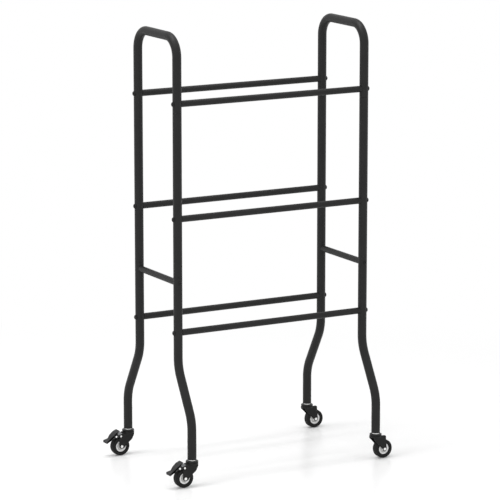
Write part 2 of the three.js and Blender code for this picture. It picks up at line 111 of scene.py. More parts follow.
class TubeSizes(PropertyGroup):
    """Sizes of the frame's tubes"""

    leg: length("Leg diameter", "Outside of the handles and legs", span("handle_left", "X"))
    leg_wall: length("Leg wall", "Wall of the handles and legs", 1.2)
    rail: length("Rail diameter", "Outside of the six rails", span("rail_top_front", "Z"))
    end_bar: length("End bar diameter", "Outside of the two end bars", span("end_bar_left", "Z"))
    rail_wall: length("Rail wall", "Wall of the rails and end bars", 1.2)
    rim: length("Rim rounding", "Rounding of the cut tube ends under the coating", 0.45)
    seam_rim: length("Seam rounding", "Rounding of the tube ends that meet at a leg joint", 0.55)
    seat_gap: length("Seat gap", "Space between a coped end and the leg", 0.3)
    swage: length("Swage length", "Length of the taper into a swaged end", 3)
    handle_bend: length("Handle bend radius", "Centreline radius of the handle's corners", 52)
    leg_bend: length("Leg bend radius", "Centreline radius of the two leg bends", 100)
    leg_bend_drop: length("Leg bend drop", "From the lower rail to the leg's first bend", 67.5)
    leg_bend_angle: FloatProperty(
        name="Leg bend angle",
        description="Lean of the leg between its two bends",
        default=math.pi / 6,
        unit="ROTATION",
    )
    plug_bore: length("Plug bore", "Bore of the plug in the foot", 10.6)
    plug_length: length("Plug length", "Length of the plug in the foot", 32)


class BoltSizes(PropertyGroup):
    """Sizes of the dome head bolts"""

    rail_head: length("Rail bolt head", "Head diameter of a rail bolt", 13)
    rail_height: length("Rail bolt head height", "Height of its head over the tube", 3.4)
    rail_shank: length("Rail bolt thread", "Thread diameter of a rail bolt", 6)
    rail_socket: length("Rail bolt socket", "Hex socket across its flats", 4)
    bar_head: length("End bolt head", "Head diameter of an end bar bolt", 10)
    bar_height: length("End bolt head height", "Height of its head over the tube", 2.8)
    bar_shank: length("End bolt thread", "Thread diameter of an end bar bolt", 5)
    bar_socket: length("End bolt socket", "Hex socket across its flats", 3)
    rim_height: length("Head rim height", "Straight rim under the dome", 1)
    reach: length("Reach", "Length of thread beyond the leg", 20)
    thread_chamfer: length("Thread chamfer", "Chamfer at the thread's end", 0.8)
    head_edge: length("Head edge", "Bevel of the head's lower edge", 0.3)
    socket_chamfer: length("Socket chamfer", "Chamfer round the mouth of the socket", 0.15)
    socket_land: length("Socket land", "Flat ring between the dome and the socket", 0.5)


class CasterSizes(PropertyGroup):
    """Sizes of the swivel casters"""

    tyre_width: length("Tyre width", "Width of the tyre", span("wheel_tyre_front_left", "Y"))
    tyre_crown: length("Tyre crown", "Rise of the tread from its edges to its middle", 0.35)
    bead_inset: length("Bead inset", "How far the bead stands in from the sidewall", 1.8)
    tyre_lip: length("Tyre lip", "How far the tyre reaches in over the hub's rim", 0.9)
    parting_height: length("Parting height", "Height of the mould's parting line", 0.12)
    parting_foot: length("Parting foot", "Width of that line at its foot", 1)
    parting_top: length("Parting top", "Width of that line at its top", 0.3)
    tyre_roundings: roundings(
        "Tyre roundings", "Half a tyre's corners, from its seat out", 0.3, 0.3, 0.3, 0.6, 4, 0.4, 0.1
    )
    hub: length("Hub diameter", "Outside of the hub, under the tyre", span("wheel_hub_front_left", "Z"))
    hub_width: length("Hub rim width", "Width of the hub's rim", 14)
    hub_rim: length("Hub rim thickness", "Thickness of the hub's rim", 4.4)
    hub_dish: length("Hub dish width", "Thickness of the web between rim and boss", 3.4)
    hub_boss: length("Hub boss diameter", "Outside of the boss round the axle", 12)
    boss_draft: length("Boss draft", "How much wider the boss is at its foot", 0.6)
    rim_draft: length("Rim draft", "How much thicker the rim is at its foot", 0.7)
    hub_roundings: roundings(
        "Hub roundings", "Half a hub's corners, from the bore out", 0.3, 0.8, 1.2, 1, 0.5, 0.3
    )
    axle: length("Axle diameter", "Diameter of the axle rivet", 6.4)
    axle_head: length("Axle head", "Head diameter of the axle rivet", span("caster_axle_front_left", "Z"))
    axle_head_height: length("Axle head height", "Height of each rivet head", 1.3)
    inside: length("Fork inside", "Half the space between the cheeks", 11.5)
    sheet: length("Fork sheet", "Thickness of the pressed steel", 2)
    braked_tip: length("Braked fork tip", "Half the width of a braked fork's cheeks at the axle", 8.8)
    braked_tip_depth: length("Braked fork tip depth", "Depth of those cheeks under the axle", 5.8)
    braked_tip_shift: length("Braked fork tip shift", "How far that tip lies ahead of the axle", 1.3)
    plain_tip: length("Plain fork tip", "Rounding of a plain fork's cheeks round the axle", 6)
    cheek_corner: length("Cheek corner", "Rounding of the cheeks' upper corners", 1)
    cheek_bend: length("Cheek bend", "Rounding of the cheeks' other corners", 5)
    head: length("Head diameter", "Outside of the swivel head", 33.7)
    head_height: length("Head height", "Height of the swivel head", 9.9)
    head_wall: length("Head wall", "Wall of the swivel head", 5.4)
    head_top: length("Head top", "Thickness of the head's top", 3)
    head_roundings: roundings(
        "Head roundings", "From its inner lower edge out", 0.4, 0.8, 0.25, 0.25, 0.25, 0.25, 2.8, 0.4, 0.3, 1
    )
    groove_drop: length("Groove drop", "From the head's top to the groove round it", 4)
    groove_width: length("Groove width", "Width of that groove at its mouth", 2)
    groove_depth: length("Groove depth", "Depth of that groove", 1.4)
    bridge_drop: length("Bridge drop", "From the head's top to the top of the cheeks", 7.4)
    bridge_edge: length("Bridge edge", "Rounding of the plate between the cheeks' fronts", 0.5)
    bridge_lap: length("Bridge lap", "How far that plate reaches into each cheek", 0.5)
    ring: length("Ring diameter", "Outside of the ring under the tube", 19.5)
    ring_height: length("Ring height", "Height of the ring under the tube", 2.3)
    ring_taper: length("Ring taper", "How much the ring's radius narrows towards the tube", 0.4)
    stem: length("Stem diameter", "Diameter of the stem", 10)
    race: length("Race thickness", "Thickness of the race in the head", 2.6)
    rivet: length("Rivet diameter", "Diameter of the stem's rivet", 12)
    rivet_height: length("Rivet height", "Height of the stem's rivet", 2)
    stem_roundings: roundings(
        "Stem roundings", "From the rivet's end up", 0, 0.8, 0.2, 0.5, 0.5, 0.3, 0.3, 0.3, 0.3, 0.3, 0.9, 0
    )
    hood_drop: length("Hood drop", "Depth of the hood under the top of the cheeks", 2.1)
    hood_length: length("Hood length", "Reach of the hood behind the head", 8.55)
    hood_corner: length("Hood corner", "Rounding of the hood's back edge", 1.8)
    hood_depth: length("Hood depth", "From the hood's top to its lower edge", 5)
    hood_edge: length("Hood edge", "Rounding of the hood's other edges across", 0.5)
    hood_side: length("Hood side", "Rounding of the hood's edges along its sides", 1.2)
    hood_inset: length("Hood inset", "How far the hood lies in from the cheeks' faces", 0.15)
    crest_rise: length("Crest rise", "Height of the plain cheeks' crests over their tops", 4.4)
    crest_roundings: roundings(
        "Crest roundings", "From under its front round its back and over it", 0.3, 0.3, 1, 1.5, 3, 3, 3, 0.3
    )


class BrakeSizes(PropertyGroup):
    """Sizes of the foot brakes"""

    pin: length("Pin diameter", "Diameter of the pivot pin", 4.6)
    pin_head: length("Pin head", "Head diameter of the pins", span("brake_pin_front_left", "Z"))
    pin_head_height: length("Pin head height", "Height of the pin heads", 0.9)
    shoe_reach: length("Shoe reach", "From the pivot pin to the shoe", 13.8)
    shoe: length("Shoe diameter", "Diameter of the shoe", 7)
    ear_wall: length("Ear wall", "Metal round the pivot pin", 1.5)
    shoe_ear: length("Shoe ear radius", "Rounding of the ears at the shoe", 3.2)
    ear_sheet: length("Ear thickness", "Thickness of each ear", 1.4)
    side_gap: length("Side gap", "Between the pedal's sides and the cheeks", 0.7)
    rear_gap: length("Rear gap", "Between the flanges and the cheeks' rear edge", 1.5)
    sheet: length("Pedal sheet", "Thickness of the tread plate", 1.6)
    flange: length("Flange sheet", "Thickness of the side flanges", 1.2)
    top_reach: length("Top reach", "From the stem's axis to the pedal's upper end", 31.6)
    top_rise: length("Top rise", "Height of that end over the pivot pin", 15.55)
    reach: length("Pedal reach", "From the stem's axis to the pedal's tip", 71.1)
    tip_drop: length("Tip drop", "Depth of the tip under the pivot pin", 10.4)
    lip: length("Lip", "Depth of the turned-down lip", 6.2)
    flange_inset: length("Flange inset", "How far the flanges lie in from the lip's face", 0.4)
    ear_lap: length("Ear lap", "How far each ear reaches into its flange", 0.2)
    plate_edge: length("Plate edge", "Rounding of the edges of flanges and ears", 0.3)
    shoe_edge: length("Shoe edge", "Rounding of the shoe's ends", 0.4)
    tread_roundings: roundings("Tread roundings", "The tread's bends, from its top down", 0, 9, 7, 5, 1, 0)
    flange_roundings: roundings(
        "Flange roundings", "From its top down the tread and back", 0.5, 3, 3, 3, 0.5, 0.8, 6, 3, 1.5, 1.5
    )
    leaf: length("Leaf thickness", "Thickness of the leaf spring", 0.8)
    leaf_tab: length("Leaf tab", "Length of the leaf under the head", 4)
    leaf_crest: length("Leaf crest", "From the stem's axis to the top of the leaf's arch", 22.5)
    leaf_rise: length("Leaf rise", "Height of that arch over the leaf's tab", 2.6)
    leaf_side_gap: length("Leaf side gap", "Between the leaf and the ears", 0.6)
    leaf_roundings: roundings("Leaf roundings", "The leaf's bends, from its tab back", 0, 3, 3, 3, 0)


class Colours(PropertyGroup):
    """Colours of the finishes"""

    tube: colour("Tube coat", "Black powder coat of the tubes", "#222222")
    bolt: colour("Bolts", "Black oxide of the bolts", "#161616")
    fork: colour("Fork coat", "Black coat of the forks", "#191919")
    pedal: colour("Pedal coat", "Dark grey coat of the pedals", "#29292a")
    zinc: colour("Zinc", "Bright zinc plate of the stems", "#f0f0ef")
    rivet: colour("Rivets", "Bright rivets and pins", "#f7f7f6")
    # The leaf's tint is steel darkened to the grey it shows in shade: painted shade
    leaf: colour("Leaf springs", "Plain spring steel", "#7d7e80")
    hub: colour("Hubs", "Light grey nylon of the hubs", "#f8f8f8")
    tyre: colour("Tyres", "Dark rubber of the tyres", "#1a1a1a")
    floor: colour("Floor", "Paper of the studio floor", "#fafafa")


# Shares of the reach and height of the forks' cheeks, of the hood and of the pedal's fall, as [reach, height]
BRAKED_REAR_SHARES = np.array([[1.26, 0.75], [1.21, 0.88], [1, 0.95], [0.36, 0.95], [0.36, 1]])
BRAKED_FRONT_SHARES = np.array([[-0.455, 1], [-0.455, 0.84], [-0.2, 0.485], [0.112, 0.32]])
PLAIN_FRONT_SHARES = np.array([[-0.59, 1], [-0.55, 0.8], [-0.23, 0.62], [0.16, 0.36]])
CREST_SHARES = np.array([[1, 0], [0.95, 0.25], [0.84, 0.6], [0.71, 0.76], [0.55, 0.4], [0.41, 0.25]])
PEDAL_KNEE_SHARES = np.array([[0.278, 0.82], [0.52, 0.485], [0.666, 0.123]])

# How far a pedal's flanges hang down, as a share of its rise, where on its first slope they start, and how
# deep a bolt's socket is, as a share of its head's height
FLANGE_DEPTH_SHARE = 0.55
FLANGE_START_SHARE = 0.76
SOCKET_DEPTH_SHARE = 0.62

# Shares of the room at an outline's corner that its rounding and the point held beside it may take
ROUNDING_SHARE = 0.46
HELD_SHARE = 0.48

# The rounding of a sheet's edges where it has none of its own, the share of it at which a ring of points
# keeps the flats' shading flat, and the share of a bent sheet's thickness that its edges are rounded by
SHEET_ROUNDING = mm(0.4)
FLAT_RING_SHARE = 1.5
SHEET_EDGE_SHARE = 0.35

# Gaps that stay between pieces
FIT_GAP = mm(0.3)
RUNNING_GAP = mm(0.4)

# How far a cutter runs on past what it cuts, how far one skin is buried in another, the distance of the
# points that hold a flat's shading, and a step too fine to see
CUT_OVERRUN = mm(5)
BURIED = mm(0.05)
HOLD = mm(0.2)
HAIR = mm(0.02)

# The faces round a tube, the angle over which an edge is drawn sharp, and the curvatures per millimetre from
# which and up to which an edge counts as rubbed
TUBE_SIDES = 48
SHARP_ANGLE = math.radians(40)
RUBBED_CURVATURE = (0.5, 2)


def unit(vectors):
    """The same directions at length one."""
    return vectors / np.linalg.norm(vectors, axis=-1, keepdims=True)


def fillet(corners, radius, closed=True, steps=5):
    """Rounds the corners of a line of [a, b] points.

    A corner with half angle h is left at radius / tan(h) along each side, and the arc between is drawn round
    a centre radius / sin(h) away on its bisector. A point held a little way along each side keeps the
    shading of the straight stretches flat. An open line keeps its two ends as they are.
    """
    corners = np.asarray(corners, float)
    back = np.roll(corners, 1, axis=0) - corners
    ahead = np.roll(corners, -1, axis=0) - corners
    room = np.minimum(np.linalg.norm(back, axis=1), np.linalg.norm(ahead, axis=1))
    back, ahead = unit(back), unit(ahead)
    half = np.arccos(np.clip((back * ahead).sum(axis=1), -1, 1)) / 2
    inset = np.minimum(np.broadcast_to(radius, half.shape) / np.tan(half), ROUNDING_SHARE * room)
    centre = corners + unit(back + ahead) * (inset / np.cos(half))[:, None]
    start, end = corners + back * inset[:, None] - centre, corners + ahead * inset[:, None] - centre
    share = np.linspace(0, 1, steps + 1)[None, :, None]
    sweep = (math.pi - 2 * half)[:, None, None]
    arc = np.sin((1 - share) * sweep) * start[:, None] + np.sin(share * sweep) * end[:, None]
    arc = centre[:, None] + arc / np.sin(sweep)
    held = np.minimum(inset + HOLD, HELD_SHARE * room)[:, None]
    first, last = corners + back * held, corners + ahead * held
    rows = np.concatenate([first[:, None], arc, last[:, None]], axis=1)
    if closed:
        return rows.reshape(-1, 2)
    return np.concatenate([corners[:1], rows[1:-1].reshape(-1, 2), corners[-1:]])


def route(lengths, turns, start, heading, arc_step=math.radians(3)):
    """Stations on a flat path of straight stretches and arcs.

    On a stretch of curvature k that starts with heading h, the point s along it lies a distance
    s * sin(k s / 2) / (k s / 2) away in the direction h + k s / 2, which holds for a straight stretch too.
    Returns the lengths along the path, the points and the headings; a straight stretch has only its two ends.
    """
    lengths, turns = np.array(lengths, float), np.array(turns, float)
    headings = heading + np.concatenate([[0], np.cumsum(turns)])

    def offset(index, along):
        turned = turns[index] / lengths[index] * along / 2
        direction, chord = headings[index] + turned, along * np.sinc(turned / math.pi)
        return chord[:, None] * np.stack([np.cos(direction), np.sin(direction)], axis=1)

    every = np.arange(len(lengths))
    joints = np.concatenate([[start], start + np.cumsum(offset(every, lengths), axis=0)])
    counts = np.maximum(np.ceil(np.abs(turns) / arc_step).astype(int), 1)
    index = np.repeat(every, counts)
    step = np.arange(counts.sum()) - np.repeat(np.cumsum(counts) - counts, counts)
    along = step * (lengths / counts)[index]
    points = np.concatenate([joints[index] + offset(index, along), joints[-1:]])
    travelled = np.concatenate([(np.cumsum(lengths) - lengths)[index] + along, [lengths.sum()]])
    facing = np.concatenate([headings[index] + turns[index] / lengths[index] * along, headings[-1:]])
    return travelled, points, facing


class Shell:
    """A closed skin: points as an (n, 3) array, and faces as arrays of point numbers, one array for each
    count of corners."""

    def __init__(self, points, faces):
        self.points, self.faces = points, faces
        if self.volume() < 0:
            self.faces = [corners[:, ::-1] for corners in faces]

    def volume(self):
        """Sum of the signed volumes of the wedges from the origin to each face."""
        wedges = 0
        for corners in self.faces:
            fan = self.points[corners]
            wedges += np.einsum("fik,fik", fan[:, :1] + 0 * fan[:, 2:], np.cross(fan[:, 1:-1], fan[:, 2:]))
        return wedges / 6

    def placed(self, offset, turn=0.0):
        """The skin turned about Z and then moved."""
        cos, sin = math.cos(turn), math.sin(turn)
        spin = np.array([[cos, -sin, 0], [sin, cos, 0], [0, 0, 1]])
        return Shell(self.points @ spin.T + np.asarray(offset), self.faces)

    def along_y(self):
        """The skin with its Z axis laid along +Y."""
        return Shell(self.points[:, [1, 2, 0]], self.faces)

    def __add__(self, other):
        shifted = [corners + len(self.points) for corners in other.faces]
        return Shell(np.concatenate([self.points, other.points]), self.faces + shifted)


def bands(lower, upper):
    """The quads between each ring of point numbers and the ring above it."""
    corners = [lower, np.roll(lower, -1, axis=1), np.roll(upper, -1, axis=1), upper]
    return np.stack(corners, axis=-1).reshape(-1, 4)


def skin(rings, closed=False):
    """Joins rings of points, an (n, m, 3) array, into a skin.

    A closed row of rings comes back to its first ring. An open one narrows to one point at each end.
    """
    if closed:
        rows, sides = rings.shape[:2]
        ids = np.arange(rows * sides).reshape(rows, sides)
        upper = np.roll(ids, -1, axis=0)
        points, fans = rings.reshape(-1, 3), []
    else:
        body = rings[1:-1]
        rows, sides = body.shape[:2]
        ids = np.arange(rows * sides).reshape(rows, sides)
        poles = rings[[0, -1]].mean(axis=1)
        points = np.concatenate([body.reshape(-1, 3), poles])
        first, last = np.full(sides, rows * sides), np.full(sides, rows * sides + 1)
        lower_fan = np.stack([ids[0], first, np.roll(ids[0], -1)], axis=1)
        upper_fan = np.stack([ids[-1], np.roll(ids[-1], -1), last], axis=1)
        fans = [np.concatenate([lower_fan, upper_fan])]
        ids, upper = ids[:-1], ids[1:]
    return Shell(points, [bands(ids, upper)] + fans)


def circle(sides):
    """Cosine and sine of evenly spaced angles."""
    angles = np.linspace(0, 2 * math.pi, sides, endpoint=False)
    return np.cos(angles), np.sin(angles)


def lathe(profile, sides=64, closed=False):
    """Turns [radius, height] points about Z: the point (r cos a, r sin a, h) at every angle a."""
    profile = np.asarray(profile, float)
    cos, sin = circle(sides)
    radius, height = profile[:, :1], profile[:, 1:]
    return skin(np.stack([radius * cos, radius * sin, height + 0 * cos], axis=-1), closed)


def ring_lathe(corners, radii, sides=64):
    """A ring turned from a closed profile whose corners are rounded."""
    return lathe(fillet(corners, radii), sides, closed=True)


def wall_profile(reach, radius, wall, rim):
    """The four rounded corners of a tube wall, as [length along, radius] rows: inner start, outer start,
    outer end and inner end."""
    inner = radius - wall
    corners = [[0, inner], [0, radius], [reach, radius], [reach, inner]]
    return fillet(corners, rim, steps=4).reshape(4, -1, 2)


def bent_tube(path, across, radius, wall, rim):
    """A tube of round section carried along a flat path in the YZ plane at a given X.

    At heading h the section stands on X and on the normal (-sin h, cos h), so that a point at angle a lies
    radius * (cos a X + sin a normal) from the path. The wall turns round at each end with a small radius.
    """
    travelled, points, headings = path
    inner_start, outer_start, outer_end, inner_end = wall_profile(travelled[-1], radius, wall, rim)
    between = travelled[1:-1]
    outer = np.stack([between, np.full_like(between, radius)], axis=1)
    inner = np.stack([between[::-1], np.full_like(between, radius - wall)], axis=1)
    rows = np.concatenate([inner_start, outer_start, outer, outer_end, inner_end, inner])
    y, z, heading = (np.interp(rows[:, 0], travelled, values) for values in (*points.T, headings))
    cos, sin = circle(TUBE_SIDES)
    size = rows[:, 1:]
    x = across + size * cos
    y = y[:, None] - np.sin(heading)[:, None] * size * sin
    z = z[:, None] + np.cos(heading)[:, None] * size * sin
    return skin(np.stack([x, y, z], axis=-1), closed=True)


def coped_tube(reach, radius, wall, rim, seat):
    """A straight tube along X whose ends are cut to sit on upright round legs of radius seat, which stand the
    reach apart.

    A point that lies y off the tube's middle reaches seat - sqrt(seat^2 - y^2) further along, round the leg.
    """
    rows = np.concatenate(wall_profile(reach - 2 * seat, radius, wall, rim))
    along, size = rows[:, :1] - (reach / 2 - seat), rows[:, 1:]
    cos, sin = circle(TUBE_SIDES)
    y, z = size * cos, size * sin
    x = along + np.sign(along) * (seat - np.sqrt(seat**2 - y**2))
    return skin(np.stack([x, y, z], axis=-1), closed=True)


def plate(outline, low, high, rounding=SHEET_ROUNDING, steps=3):
    """A sheet cut to an outline of [reach, height] points, from low to high on Y, with rounded edges.

    Each ring is the outline drawn in by rounding * (1 - cos a), at a depth of rounding * (1 - sin a), for a
    from a quarter turn to nought and back. Reach runs towards -X.
    """
    outline = np.asarray(outline, float)
    step = np.roll(outline, -1, axis=0) - outline
    area = np.sum(outline[:, 0] * step[:, 1] - outline[:, 1] * step[:, 0])
    side = unit(step)[:, ::-1] * np.array([-1, 1]) * np.sign(area)
    before = np.roll(side, 1, axis=0)
    inward = (side + before) / (1 + (side * before).sum(axis=1, keepdims=True))
    angle = np.linspace(math.pi / 2, 0, steps + 1)
    drawn = np.concatenate([[FLAT_RING_SHARE], 1 - np.cos(angle), [0]]) * rounding
    depth = np.concatenate([[0], 1 - np.sin(angle), [FLAT_RING_SHARE]]) * rounding
    drawn = np.concatenate([drawn, drawn[::-1]])
    height = np.concatenate([low + depth, high - depth[::-1]])
    flat = outline + drawn[:, None, None] * inward
    rings = np.stack([-flat[..., 0], height[:, None] + 0 * flat[..., 0], flat[..., 1]], axis=-1)
    rows, sides = rings.shape[:2]
    ids = np.arange(rows * sides).reshape(rows, sides)
    return Shell(rings.reshape(-1, 3), [bands(ids[:-1], ids[1:]), ids[:1, ::-1], ids[-1:]])


def bent_sheet(line, thickness, low, high, bend):
    """A sheet bent along a line of [reach, height] points, its under side set back along the normal."""
    upper = fillet(line, bend, closed=False)
    run = np.gradient(upper, axis=0)
    normal = unit(np.stack([run[:, 1], -run[:, 0]], axis=1))
    outline = np.concatenate([upper, (upper + thickness * normal)[::-1]])
    return plate(outline, low, high, thickness * SHEET_EDGE_SHARE)


def arc_points(centre, radius, start, end, steps=16):
    """Points round a centre from one angle to another: radius * (cos a, sin a), where the radius may be one
    number or a half width and a half height."""
    angle = np.linspace(start, end, steps + 1)
    return np.asarray(centre) + radius * np.stack([np.cos(angle), np.sin(angle)], axis=1)


def store(mesh, name, domain, value):
    """Stores one number for each face or point, held between 0 and 1."""
    value = np.clip(value, 0, 1).astype(np.float32)
    mesh.attributes.new(name, "FLOAT", domain).data.foreach_set("value", value)


def mark_edges(mesh):
    """Stores how sharply each face turns outwards into a neighbour, as a face value from 0 to 1 named edge.

    The angle between two neighbouring faces over the distance between their middles is the curvature. It is
    nought on tubes and flats, and one where the rounding is under half a millimetre.
    """
    count = len(mesh.polygons)
    normals, middles = np.empty(count * 3), np.empty(count * 3)
    mesh.polygons.foreach_get("normal", normals)
    mesh.polygons.foreach_get("center", middles)
    normals, middles = normals.reshape(-1, 3), middles.reshape(-1, 3)
    corners, edge_of = np.empty(count, int), np.empty(len(mesh.loops), int)
    mesh.polygons.foreach_get("loop_total", corners)
    mesh.loops.foreach_get("edge_index", edge_of)
    face_of = np.repeat(np.arange(count), corners)
    order = np.argsort(edge_of, kind="stable")
    pair = np.flatnonzero(edge_of[order][1:] == edge_of[order][:-1])
    one, two = face_of[order[pair]], face_of[order[pair + 1]]
    apart = middles[two] - middles[one]
    angle = np.arccos(np.clip((normals[one] * normals[two]).sum(axis=1), -1, 1))
    angle *= (normals[one] * apart).sum(axis=1) < 0
    curvature = angle / np.maximum(np.linalg.norm(apart, axis=1), 1e-9)
    value = np.zeros(count)
    for side in (one, two):
        np.maximum.at(value, side, curvature)
    low, high = RUBBED_CURVATURE
    store(mesh, "edge", "FACE", (value * mm(1) - low) / (high - low))


def mark_painted_sunk_shade(mesh, face, floor):
    """Stores how far each point of a hub is sunk between two distances from its middle along Y, as a point
    value from 0 to 1 named painted_sunk_shade, which sets where the hub is darkened with painted shade."""
    places = np.empty(len(mesh.vertices) * 3)
    mesh.vertices.foreach_get("co", places)
    across = places[1::3] - (places[1::3].min() + places[1::3].max()) / 2
    store(mesh, "painted_sunk_shade", "POINT", (face - np.abs(across)) / (face - floor))


def as_mesh(shell):
    """A Blender mesh of a skin."""
    mesh = bpy.data.meshes.new("part")
    mesh.from_pydata(shell.points, [], [face for corners in shell.faces for face in corners.tolist()])
    mesh.update()
    return mesh


def fused(shells, cutters=()):
    """One closed mesh round skins that cross each other, less the cutters."""
    objects = [bpy.data.objects.new("part", as_mesh(shell)) for shell in (*shells, *cutters)]
    for obj in objects:
        bpy.context.scene.collection.objects.link(obj)
    for obj in objects[1:]:
        step = objects[0].modifiers.new("step", "BOOLEAN")
        step.object, step.solver = obj, "MANIFOLD"
        step.operation = "UNION" if obj in objects[: len(shells)] else "DIFFERENCE"
    graph = bpy.context.evaluated_depsgraph_get()
    mesh = bpy.data.meshes.new_from_object(objects[0].evaluated_get(graph))
    for obj in objects:
        bpy.data.objects.remove(obj)
    return mesh


def add_piece(name, form, kind, node, covers=True):
    """Puts a skin or a mesh in the scene as a smooth piece of one kind of finish that moves with a node, in
    its place if it covers it."""
    mesh = as_mesh(form) if isinstance(form, Shell) else form
    mesh.name = name
    mesh.shade_smooth()
    mesh.set_sharp_from_angle(angle=SHARP_ANGLE)
    mark_edges(mesh)
    mesh.materials.clear()
    mesh.materials.append(finish(kind))
    piece = bpy.data.objects.new(name, mesh)
    bpy.context.scene.collection.objects.link(piece)
    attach(piece, BODY_OF[node])
    if covers:
        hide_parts(node)
    return piece


def middle(node):
    """The middle of a node's box."""
    low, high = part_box(node)
    return np.array((low + high) / 2)


def reach_of(node, place):
    """How far a node's middle lies from its caster's stem axis along X."""
    return abs(middle(node)[0] - middle(f"caster_stem_{place}")[0])


def caster_stand(place):
    """Where a caster's stem axis meets the floor."""
    x, y, _ = middle(f"caster_stem_{place}")
    return np.array([x, y, 0])


def outward(side):
    """How far a caster is turned about its stem from trailing towards -X."""
    return 0 if side == "left" else math.pi


# Finishes


def add(tree, kind, inputs=None, **settings):
    """Adds a shader node with its settings. Each input is a plain value, the output of another node, or
    another node, whose first output in use is taken."""
    made = tree.nodes.new("ShaderNode" + kind)
    for name, value in settings.items():
        setattr(made, name, value)
    for name, value in (inputs or {}).items():
        if isinstance(value, bpy.types.Node):
            value = next(output for output in value.outputs if output.enabled)
        if isinstance(value, bpy.types.NodeSocket):
            tree.links.new(value, made.inputs[name])
        else:
            made.inputs[name].default_value = value
    return made


def new_finish(name):
    """A material with an empty node tree, and the piece's own coordinates."""
    material = bpy.data.materials.get(name) or bpy.data.materials.new(name)
    material.use_nodes = True
    tree = material.node_tree
    tree.nodes.clear()
    return material, tree, add(tree, "TexCoord").outputs["Object"]


def surface(tree, **sockets):
    """Adds a material's shader and its output."""
    shader = add(tree, "BsdfPrincipled", {key.replace("_", " "): value for key, value in sockets.items()})
    add(tree, "OutputMaterial", {"Surface": shader})


def shaded(tree, level, tint, low, high):
    """The tint times a factor that goes from low to high with the level."""
    dark, light = ((*(np.array(tint) * factor), 1) for factor in (low, high))
    return add(tree, "Mix", {0: level, 6: dark, 7: light}, data_type="RGBA")


def powder_coat(name, tint, rub, rough):
    """Polyester powder baked on steel: an even satin black with the faint pebble of orange peel, a little
    lighter where hands and other pieces have rubbed its edges."""
    material, tree, where = new_finish(name)
    # Orange peel is about 0.8 mm from crest to crest, and scuffs are about 4 mm long
    peel = add(tree, "TexNoise", {"Vector": where, "Scale": 1 / mm(0.8), "Detail": 1.0})
    scuffs = add(tree, "TexNoise", {"Vector": where, "Scale": 1 / mm(4), "Detail": 4.0})
    # The coat's thickness drifts over a few centimetres
    drift = add(tree, "TexNoise", {"Vector": where, "Scale": 1 / mm(35), "Detail": 3.0})
    edge = add(tree, "Attribute", attribute_name="edge").outputs["Fac"]
    bare = add(tree, "MapRange", {"Value": scuffs, "From Min": 0.5, "From Max": 0.7})
    worn = add(tree, "Math", {0: edge, 1: bare}, operation="MULTIPLY")
    level = add(tree, "MapRange", {"Value": drift, "From Min": 0.3, "From Max": 0.7})
    coat = shaded(tree, level, tint, 0.9, 1.1)
    paint = add(tree, "Mix", {0: worn, 6: coat, 7: (*rub, 1)}, data_type="RGBA")
    haze = add(tree, "MapRange", {"Value": drift, "To Min": rough - 0.05, "To Max": rough + 0.07})
    bump = add(tree, "Bump", {"Height": peel, "Strength": 0.5, "Distance": mm(0.04)})
    surface(tree, Base_Color=paint, Roughness=haze, Normal=bump, Specular_IOR_Level=0.2)
    return material


def bright_metal(name, tint, rough, grain):
    """Plated or plain steel: a soft mirror with fine lines of the given spacing round the piece, clouded a
    little where the plating is thin."""
    material, tree, where = new_finish(name)
    # Clouds of about 6 mm, and noise drawn out level until it turns into lines
    clouds = add(tree, "TexNoise", {"Vector": where, "Scale": 1 / mm(6), "Detail": 3.0})
    stretched = add(tree, "Mapping", {"Vector": where, "Scale": (0.15, 0.15, 1)})
    lines = add(tree, "TexNoise", {"Vector": stretched, "Scale": 1 / grain, "Detail": 2.0})
    level = add(tree, "MapRange", {"Value": clouds, "From Min": 0.35, "From Max": 0.6})
    metal = shaded(tree, level, tint, 0.94, 1)
    haze = add(tree, "MapRange", {"Value": lines, "To Min": rough - 0.08, "To Max": rough + 0.1})
    bump = add(tree, "Bump", {"Height": lines, "Strength": 0.15, "Distance": mm(0.01)})
    surface(tree, Base_Color=metal, Metallic=1.0, Roughness=haze, Normal=bump)
    return material


def moulded_nylon(name, tint, sunk_shade_tint):
    """Glass-filled nylon from the mould: pale grey, satin, with faint flow marks, and darkened with painted
    shade where it is sunk."""
    material, tree, where = new_finish(name)
    # Flow marks are some 5 mm long, and the mould's spark-eroded grain is near 0.3 mm
    flow = add(tree, "TexNoise", {"Vector": where, "Scale": 1 / mm(5), "Detail": 2.0, "Distortion": 0.6})
    grain = add(tree, "TexNoise", {"Vector": where, "Scale": 1 / mm(0.3), "Detail": 1.0})
    unshaded_nylon = shaded(tree, flow, tint, 0.95, 1)
    # Painted shade: the hub's colour goes towards a darker grey where its web is sunk
    sunk = add(tree, "Attribute", attribute_name="painted_sunk_shade").outputs["Fac"]
    nylon = add(tree, "Mix", {0: sunk, 6: unshaded_nylon, 7: (*sunk_shade_tint, 1)}, data_type="RGBA")
    satin = add(tree, "MapRange", {"Value": grain, "To Min": 0.4, "To Max": 0.52})
    bump = add(tree, "Bump", {"Height": grain, "Strength": 0.3, "Distance": mm(0.02)})
    surface(tree, Base_Color=nylon, Roughness=satin, Normal=bump, IOR=1.53)
    return material


def moulded_rubber(name, tint):
    """Thermoplastic rubber: dull near-black, clouded a little paler where the floor has marked it."""
    material, tree, where = new_finish(name)
    # Pores of about 0.5 mm, and marks of about 8 mm
    pores = add(tree, "TexNoise", {"Vector": where, "Scale": 1 / mm(0.5), "Detail": 3.0})
    marks = add(tree, "TexNoise", {"Vector": where, "Scale": 1 / mm(8), "Detail": 4.0})
    level = add(tree, "MapRange", {"Value": marks, "From Min": 0.35, "From Max": 0.7})
    rubber = shaded(tree, level, tint, 0.85, 1.25)
    dull = add(tree, "MapRange", {"Value": marks, "To Min": 0.62, "To Max": 0.8})
    bump = add(tree, "Bump", {"Height": pores, "Strength": 0.4, "Distance": mm(0.04)})
    surface(tree, Base_Color=rubber, Roughness=dull, Normal=bump, IOR=1.52, Specular_IOR_Level=0.2)
    return material
